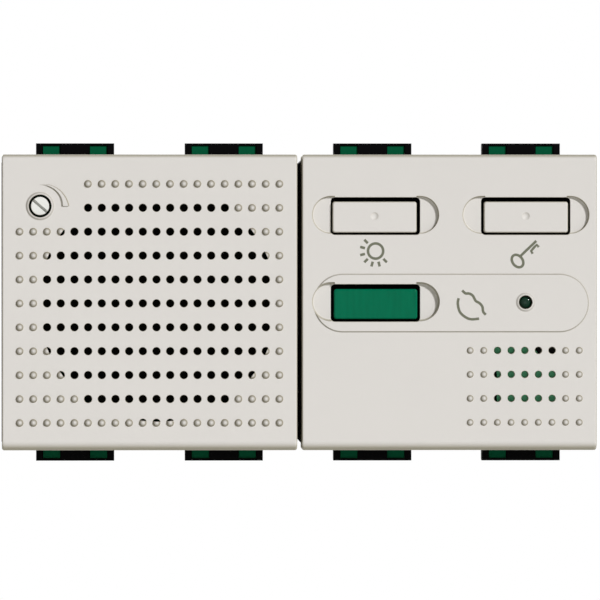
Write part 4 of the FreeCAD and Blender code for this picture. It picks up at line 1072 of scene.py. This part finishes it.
class CHIME_OT_push_keys(bpy.types.Operator):
    """Makes the three push keys with their eased edges, lips, stems and tactile hollows"""

    bl_idname = "chime.push_keys"
    bl_label = "Push keys"

    def execute(self, context):
        keys = context.scene.chime_keys
        cx = middle("key_cover")[2]
        for name, key_x, key_z, width, height, shift in key_places(keys, cx):
            low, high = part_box(name)
            cap = self.cap(name + "_cap", key_x, key_z, width, height, shift, keys, low.y, high.y)
            slot = "green_gloss_plastic" if name == "talk_key" else "key_grey_plastic"
            cap.data.materials.append(Finishes.get(slot))
            # Behind its front a key takes the black of painted shade, for it lies deep in its opening.
            cap.data.materials.append(Finishes.get("skirt_plastic"))
            for face in cap.data.polygons:
                face.material_index = int(face.center.y > low.y + keys.skin)
            finish_piece(cap, name, slot, name)
        return {"FINISHED"}

    @staticmethod
    def cap(name, key_x, key_z, width, height, shift, keys, front, back):
        """A hollow cap with its lip, the stem behind it and, on the grey keys, a tactile hollow."""
        sizes = bpy.context.scene.chime_plate
        cap_x = key_x + shift
        cap_z = key_z - keys.drop
        lip_y = -sizes.front + sizes.front_wall + keys.lip_gap
        lip_back = lip_y + keys.lip_depth
        lip_w = keys.opening_width + keys.lip
        lip_h = keys.opening_height + keys.lip
        rings = []
        for step in range(EDGE_STEPS + 1):
            angle = math.radians(90 * step / EDGE_STEPS)
            more = -keys.edge * (1 - math.sin(angle))
            ring = outline(cap_x, cap_z, width + 2 * more, height + 2 * more, keys.corner)
            rings.append(at(ring, front + keys.edge * (1 - math.cos(angle))))
        body = outline(cap_x, cap_z, width, height, keys.corner)
        lip = outline(key_x, key_z, lip_w, lip_h, keys.corner)
        hollow_h = height - 2 * keys.wall
        hollow = outline(cap_x, cap_z, width - 2 * keys.wall, hollow_h, HOLLOW_CORNER)
        rings += [at(body, front + keys.skin), at(body, lip_y), at(lip, lip_y), at(lip, lip_back)]
        rings += [at(hollow, lip_back), at(hollow, front + keys.wall)]
        cap = piece(name, rings)
        stem = outline(key_x, cap_z, keys.stem_width, hollow_h, HOLLOW_CORNER)
        combine(cap, prism("stem", stem, front + keys.wall / 2, back), "UNION")
        if not name.startswith("talk"):
            radius = keys.dot / 2
            bowl = [at(circle(cap_x, key_z, radius * BOWL_SPREAD, HOLLOW_SIDES), front - BOWL_FRONT)]
            for step in range(BOWL_STEPS):
                share = 1 - step / BOWL_STEPS
                ring = circle(cap_x, key_z, radius * share, HOLLOW_SIDES)
                bowl.append(at(ring, front + keys.dot_depth * (1 - share ** 2)))
            combine(cap, piece("tactile_dot", bowl), "DIFFERENCE")
        crease(cap)
        return cap


# Radius of the trimmer's turned edges.
TRIMMER_EDGE = 0.15 * MM


class CHIME_OT_volume_trimmer(bpy.types.Operator):
    """Makes the slotted volume trimmer"""

    bl_idname = "chime.volume_trimmer"
    bl_label = "Volume trimmer"

    def execute(self, context):
        sizes = context.scene.chime_trimmer
        low, high, cx, cz = middle("trimmer_rotor")
        edge = TRIMMER_EDGE
        neck = low.y + sizes.head_depth
        head = sizes.head / 2
        shaft = sizes.shaft / 2
        profile = [
            (head - edge, low.y), (head - edge * 0.3, low.y + edge * 0.3), (head, low.y + edge),
            (head, neck - edge), (head - edge, neck), (shaft, neck), (shaft, high.y - edge),
            (shaft - edge, high.y),
        ]
        rotor = piece("trimmer_rotor_turned", [at(circle(cx, cz, r, RIM_SIDES), y) for r, y in profile])
        half_w = sizes.slot_width / 2
        reach = head + MM
        way_x = math.cos(sizes.slot_turn)
        way_z = math.sin(sizes.slot_turn)
        ring = []
        for side_l, side_w in ((-1, -1), (1, -1), (1, 1), (-1, 1)):
            x = cx + side_l * reach * way_x - side_w * half_w * way_z
            z = cz + side_l * reach * way_z + side_w * half_w * way_x
            ring.append((x, z))
        combine(rotor, prism("driver_slot", ring, low.y - MM, low.y + sizes.slot_depth), "DIFFERENCE")
        crease(rotor)
        finish_piece(rotor, "volume_trimmer", "trimmer_plastic", "trimmer_rotor")
        return {"FINISHED"}


# Rise of the status lens's dome, its steps, and the thickness of the flange behind.
LENS_DOME = 0.45 * MM
LENS_STEPS = 8
LENS_FLANGE = 0.8 * MM


class CHIME_OT_status_light(bpy.types.Operator):
    """Makes the status light's domed dark lens"""

    bl_idname = "chime.status_light"
    bl_label = "Status light"

    def execute(self, context):
        panel = context.scene.chime_panel
        low, high, cx, cz = middle("status_light_pipe")
        radius = panel.light_pipe / 2
        flange = (high.x - low.x) / 2
        flange_back = -panel.flange_depth
        flange_front = flange_back - LENS_FLANGE
        profile = []
        for step in range(1, LENS_STEPS + 1):
            angle = math.radians(90 * step / LENS_STEPS)
            profile.append((radius * math.sin(angle), low.y + LENS_DOME * (1 - math.cos(angle))))
        profile += [
            (radius, flange_front), (flange, flange_front), (flange, flange_back), (radius, flange_back),
            (radius, high.y),
        ]
        lens = piece("status_lens", [at(circle(cx, cz, r, LENS_SIDES), y) for r, y in profile])
        crease(lens)
        finish_piece(lens, "chime", "lens_green", "status_light_pipe")
        return {"FINISHED"}


# Printed signs


def smooth_line(points, steps=6):
    """A line through a few points, rounded between them."""
    result = []
    last = len(points) - 1
    for i in range(last):
        before = points[max(i - 1, 0)]
        here = points[i]
        there = points[i + 1]
        after = points[min(i + 2, last)]
        for step in range(steps):
            t = step / steps
            point = []
            for a, b, c, d in zip(before, here, there, after):
                point.append(0.5 * (2 * b + (c - a) * t + (2 * a - 5 * b + 4 * c - d) * t ** 2
                                    + (3 * b - a - 3 * c + d) * t ** 3))
            result.append(tuple(point))
    return result + [points[-1]]


def add_stroke(bm, points, width, y, depth, closed=False):
    """A thin closed strip along a line in the front view."""
    count = len(points)
    left = []
    right = []
    for i, (x, z) in enumerate(points):
        before = points[(i - 1) % count] if closed or i else points[i]
        after = points[(i + 1) % count] if closed or i < count - 1 else points[i]
        way = Vector((after[0] - before[0], after[1] - before[1])).normalized()
        left.append((x - way.y * width / 2, z + way.x * width / 2))
        right.append((x + way.y * width / 2, z - way.x * width / 2))
    rows = []
    for side, level in ((left, y), (right, y), (right, y + depth), (left, y + depth)):
        rows.append([bm.verts.new((px, level, pz)) for px, pz in side])
    runs = count if closed else count - 1
    for i in range(runs):
        k = (i + 1) % count
        for near, far in zip(rows, rows[1:] + rows[:1]):
            bm.faces.new((near[i], near[k], far[k], far[i]))
    if not closed:
        bm.faces.new([row[0] for row in rows])
        bm.faces.new([row[-1] for row in rows])


def arc(cx, cz, radius_x, radius_z, start, end, steps, turn=0.0):
    """Points along a circle or a turned ellipse, angles in degrees."""
    points = []
    tilt = math.radians(turn)
    for step in range(steps + 1):
        angle = math.radians(start + (end - start) * step / steps)
        a = radius_x * math.cos(angle)
        b = radius_z * math.sin(angle)
        points.append((cx + a * math.cos(tilt) - b * math.sin(tilt),
                       cz + a * math.sin(tilt) + b * math.cos(tilt)))
    return points


class CHIME_OT_signs(bpy.types.Operator):
    """Prints the three plain signs: a lamp, a key and a talk sign"""

    bl_idname = "chime.signs"
    bl_label = "Printed signs"

    def execute(self, context):
        scene = context.scene
        panel = scene.chime_panel
        cx = middle("key_cover")[2]
        front = -scene.chime_plate.front
        stroke = panel.print_width
        plate_y = front - panel.print_depth / 2
        platform_y = plate_y - panel.platform_rise
        signs = (
            ("lamp_sign", self.lamp(), plate_y),
            ("lock_sign", self.key(), plate_y),
            ("talk_sign", self.talk(), platform_y),
        )
        for name, lines, y in signs:
            bm = bmesh.new()
            for points, closed in lines:
                moved = [(cx + x * MM, z * MM) for x, z in points]
                add_stroke(bm, moved, stroke, y, panel.print_depth, closed)
            bmesh.ops.recalc_face_normals(bm, faces=bm.faces)
            sign = from_bmesh(name, bm)
            sign.data.materials.append(Finishes.get("ink"))
            finish_piece(sign, "chime", "grey_plastic")
        return {"FINISHED"}

    @staticmethod
    def lamp():
        """A ring with seven rays on its lower left."""
        x, z = -11.1, 7.72
        lines = [(arc(x, z, 1.14, 1.14, 0, 350, 35), True)]
        for angle in (135, 165, 195, 225, 255, 285, 315):
            way = (math.cos(math.radians(angle)), math.sin(math.radians(angle)))
            ray = [(x + way[0] * reach, z + way[1] * reach) for reach in (1.65, 2.4)]
            lines.append((ray, False))
        return lines

    @staticmethod
    def key():
        """An oval bow with a slanting shaft and its bit."""
        x, z = 10.22, 6.22
        bow = arc(x, z, 1.03, 0.76, 0, 350, 35, -52)
        shaft = [(10.72, 7.02), (13.04, 9.24)]
        bit = [(12.5, 7.32), (12.26, 7.72), (12.72, 8.28), (13.12, 8.66), (13.4, 8.3)]
        return [(bow, True), (shaft, False), (bit, False)]

    @staticmethod
    def talk():
        """A rounded bowl with a wavy line over it."""
        bowl = [(1.36, 0.64), (1.24, -0.2), (1.55, -1.42), (2.42, -2.22), (3.3, -2.52), (4.44, -2.42)]
        wave = [
            (1.9, 1.8), (2.4, 1.36), (2.96, 1.34), (3.5, 1.0), (3.92, 0.26), (4.5, -0.1),
            (4.92, -0.62), (5.06, -1.4), (5.46, -1.84)]
        return [(smooth_line(bowl), False), (smooth_line(wave), False)]


# Carried-over pieces: the frame's own shapes with their finishes


class CHIME_OT_rear_shells(bpy.types.Operator):
    """Finishes the black rear housings and the green chassis with their snap hooks"""

    bl_idname = "chime.rear_shells"
    bl_label = "Rear housings and chassis"

    def execute(self, context):
        lit = tuple(context.scene.chime_colours.mic_pad)
        depth = context.scene.chime_panel.mic_pad_depth
        lit_front(Finishes.get("green_chassis_plastic"), lit, -depth)
        dress("black_plastic", "speaker_housing", "key_housing")
        dress("green_chassis_plastic", "speaker_chassis", "key_chassis")
        return {"FINISHED"}


class CHIME_OT_terminals(bpy.types.Operator):
    """Finishes the terminal blocks, link sockets and setting header with its jumper caps"""

    bl_idname = "chime.terminals"
    bl_label = "Terminals and sockets"

    def execute(self, context):
        dress("terminal_plastic", "speaker_terminal_block", "key_terminal_block")
        dress("plated_steel", "speaker_terminal_screws", "key_terminal_screws")
        dress("switch_plastic", "speaker_link_socket", "key_link_socket", "setting_header",
              "jumper_caps")
        return {"FINISHED"}


class CHIME_OT_loudspeaker(bpy.types.Operator):
    """Finishes the loudspeaker behind the grille"""

    bl_idname = "chime.loudspeaker"
    bl_label = "Loudspeaker"

    def execute(self, context):
        dress("black_cloth", "grille_cloth")
        dress("gasket_foam", "speaker_gasket")
        dress("black_rubber", "speaker_surround")
        dress("cone_paper", "speaker_cone", "speaker_dust_cap")
        dress("copper", "speaker_voice_coil", "speaker_leads")
        dress("plated_steel", "speaker_basket", "speaker_top_plate", "speaker_yoke")
        dress("ferrite", "speaker_magnet")
        return {"FINISHED"}


class CHIME_OT_boards(bpy.types.Operator):
    """Finishes the circuit boards and what they carry"""

    bl_idname = "chime.boards"
    bl_label = "Circuit boards"

    def execute(self, context):
        dress("board_laminate", "speaker_board", "key_board", "main_board")
        dress("chip_black", "speaker_board_parts", "key_board_parts", "main_board_parts")
        dress("plated_steel", "speaker_board_screws", "main_board_screws",
              "microphone_capsule")
        dress("switch_plastic", "light_key_switch", "lock_key_switch", "talk_key_switch",
              "board_link", "trimmer_body")
        dress("plunger_plastic", "light_key_plunger", "lock_key_plunger", "talk_key_plunger")
        dress("black_rubber", "microphone_boot")
        dress("lamp_resin", "status_lamp")
        return {"FINISHED"}


# Stage

# Name, direction that it shines from, strength, spread in degrees and colour of each sun.
SUNS = (
    ("Key light", (0.59, -0.68, 0.43), 3.13, 8, (0.985, 0.985, 1.0)),
    ("Fill light", (-0.02, -0.99, -0.12), 0.22, 30, (1.0, 1.0, 1.0)),
    ("Back light", (-0.5, 0.8, 0.3), 3.0, 25, (1.0, 1.0, 1.0)),
)
# Colour of the soft light all round, and its least and greatest strength.
SOFT_COLOUR = (1.0, 0.97, 0.78, 1.0)
SOFT_LEAST = 0.02
SOFT_MOST = 0.27
WHITE = (1.0, 1.0, 1.0, 1.0)
# The floor's half length, its height below the set's middle, and its thickness.
FLOOR_HALF = 0.6
FLOOR_TOP = -0.2
FLOOR_DEPTH = 0.01
# Where the camera looks on the plates' faces, from which side and height, and its lens.
AIM_X = 0.055 * MM
AIM_Z = 0.375 * MM
AZIMUTH = math.radians(-1.4)
ELEVATION = math.radians(0.45)
SENSOR_WIDTH = 36
FOCAL_LENGTH = 400
CLIP_START = 0.05


def add_sun(name, direction, strength, spread, colour):
    """A sun that shines from a direction."""
    light = bpy.data.lights.new(name, "SUN")
    light.color = colour
    light.energy = strength
    light.angle = math.radians(spread)
    obj = bpy.data.objects.new(name, light)
    obj.rotation_euler = Vector(direction).to_track_quat("Z", "Y").to_euler()
    bpy.context.scene.collection.objects.link(obj)


def pale_floor():
    """A matt floor that looks paler to the camera than it shines on the set."""
    surface = Surface("Pale floor")
    grain = surface.noise(1.5 * MM)
    pale = surface.blend(grain, (0.9, 0.9, 0.89), (0.94, 0.94, 0.93))
    surface.set(
        Base_Color=surface.blend(surface.seen(), (0.8, 0.79, 0.74), pale),
        Roughness=surface.between(grain, 0.85, 0.95),
        Specular_IOR_Level=0.1)
    return surface.material


class CHIME_OT_stage(bpy.types.Operator):
    """Sets up the floor, the white surroundings, the studio light and the camera"""

    bl_idname = "chime.stage"
    bl_label = "Stage"

    def execute(self, context):
        self.floor()
        self.world()
        for sun in SUNS:
            add_sun(*sun)
        self.camera()
        context.scene.view_settings.view_transform = "Standard"
        return {"FINISHED"}

    @staticmethod
    def floor():
        """A plain pale floor below the set."""
        corners = [(side_x * FLOOR_HALF, side_y * FLOOR_HALF)
                   for side_x, side_y in ((-1, -1), (1, -1), (1, 1), (-1, 1))]
        bm = bmesh.new()
        for level in (FLOOR_TOP, FLOOR_TOP - FLOOR_DEPTH):
            bm.faces.new([bm.verts.new((x, y, level)) for x, y in corners])
        bmesh.ops.bridge_loops(bm, edges=bm.edges)
        bmesh.ops.recalc_face_normals(bm, faces=bm.faces)
        floor = from_bmesh("floor", bm)
        floor.data.materials.append(pale_floor())

    @staticmethod
    def world():
        """White where it is seen or mirrored, and a soft light that comes mostly from front and back."""
        world = bpy.data.worlds.new("Studio")
        world.use_nodes = True
        bpy.context.scene.world = world
        tree = Tree(world.node_tree)
        tree.nodes.clear()
        place = tree.nodes.new("ShaderNodeTexCoord").outputs["Generated"]
        facing = tree.maths("ABSOLUTE", tree.coordinate(place, "Y"))
        level = tree.between(tree.maths("POWER", facing, 2.0), SOFT_LEAST, SOFT_MOST)
        soft = tree.add("ShaderNodeBackground", Color=SOFT_COLOUR, Strength=level)
        white = tree.add("ShaderNodeBackground", Color=WHITE, Strength=1.0)
        mix = tree.add("ShaderNodeMixShader")
        for socket, value in zip(mix.inputs, (tree.seen(), soft.outputs[0], white.outputs[0])):
            tree.put(socket, value)
        tree.add("ShaderNodeOutputWorld", Surface=mix.outputs[0])

    @staticmethod
    def camera():
        """A long lens, a metre in front and a little from the left and above."""
        aim = Vector((AIM_X, -bpy.context.scene.chime_plate.front, AIM_Z))
        flat = math.cos(ELEVATION)
        away = Vector((flat * math.sin(AZIMUTH), -flat * math.cos(AZIMUTH), math.sin(ELEVATION)))
        data = bpy.data.cameras.new("Front camera")
        data.sensor_width = SENSOR_WIDTH
        data.lens = FOCAL_LENGTH
        data.clip_start = CLIP_START
        camera = bpy.data.objects.new("Front camera", data)
        camera.location = aim + away
        camera.rotation_euler = away.to_track_quat("Z", "Y").to_euler()
        bpy.context.scene.collection.objects.link(camera)
        bpy.context.scene.camera = camera


# Add-on

OPERATORS = (
    CHIME_OT_speaker_cover,
    CHIME_OT_key_cover,
    CHIME_OT_push_keys,
    CHIME_OT_volume_trimmer,
    CHIME_OT_status_light,
    CHIME_OT_signs,
    CHIME_OT_rear_shells,
    CHIME_OT_terminals,
    CHIME_OT_loudspeaker,
    CHIME_OT_boards,
    CHIME_OT_stage,
)

GROUPS = {
    "chime_plate": ChimePlateSizes,
    "chime_grille": ChimeGrilleSizes,
    "chime_trimmer": ChimeTrimmerSizes,
    "chime_keys": ChimeKeySizes,
    "chime_panel": ChimePanelSizes,
    "chime_colours": ChimeColours,
}


class CHIME_PT_panel(bpy.types.Panel):
    """Lists the steps that finish the chime, and the sizes and colours that they read"""

    bl_label = "Door chime set"
    bl_idname = "CHIME_PT_panel"
    bl_space_type = "VIEW_3D"
    bl_region_type = "UI"
    bl_category = "Chime"

    def draw(self, context):
        for operator in OPERATORS:
            self.layout.operator(operator.bl_idname)
        for name in GROUPS:
            group = getattr(context.scene, name)
            box = self.layout.box()
            for key in group.__annotations__:
                box.prop(group, key)


def register():
    """Registers the classes and hangs their settings on the scene."""
    for group in GROUPS.values():
        bpy.utils.register_class(group)
    for name, group in GROUPS.items():
        setattr(bpy.types.Scene, name, PointerProperty(type=group))
    for operator in OPERATORS:
        bpy.utils.register_class(operator)
    bpy.utils.register_class(CHIME_PT_panel)


def unregister():
    """Takes the classes and settings away again."""
    bpy.utils.unregister_class(CHIME_PT_panel)
    for operator in reversed(OPERATORS):
        bpy.utils.unregister_class(operator)
    for name in GROUPS:
        delattr(bpy.types.Scene, name)
    for group in reversed(list(GROUPS.values())):
        bpy.utils.unregister_class(group)


def main():
    """Runs every step in order."""
    register()
    for operator in OPERATORS:
        group, name = operator.bl_idname.split(".")
        getattr(getattr(bpy.ops, group), name)()


if __name__ == "__main__":
    main()
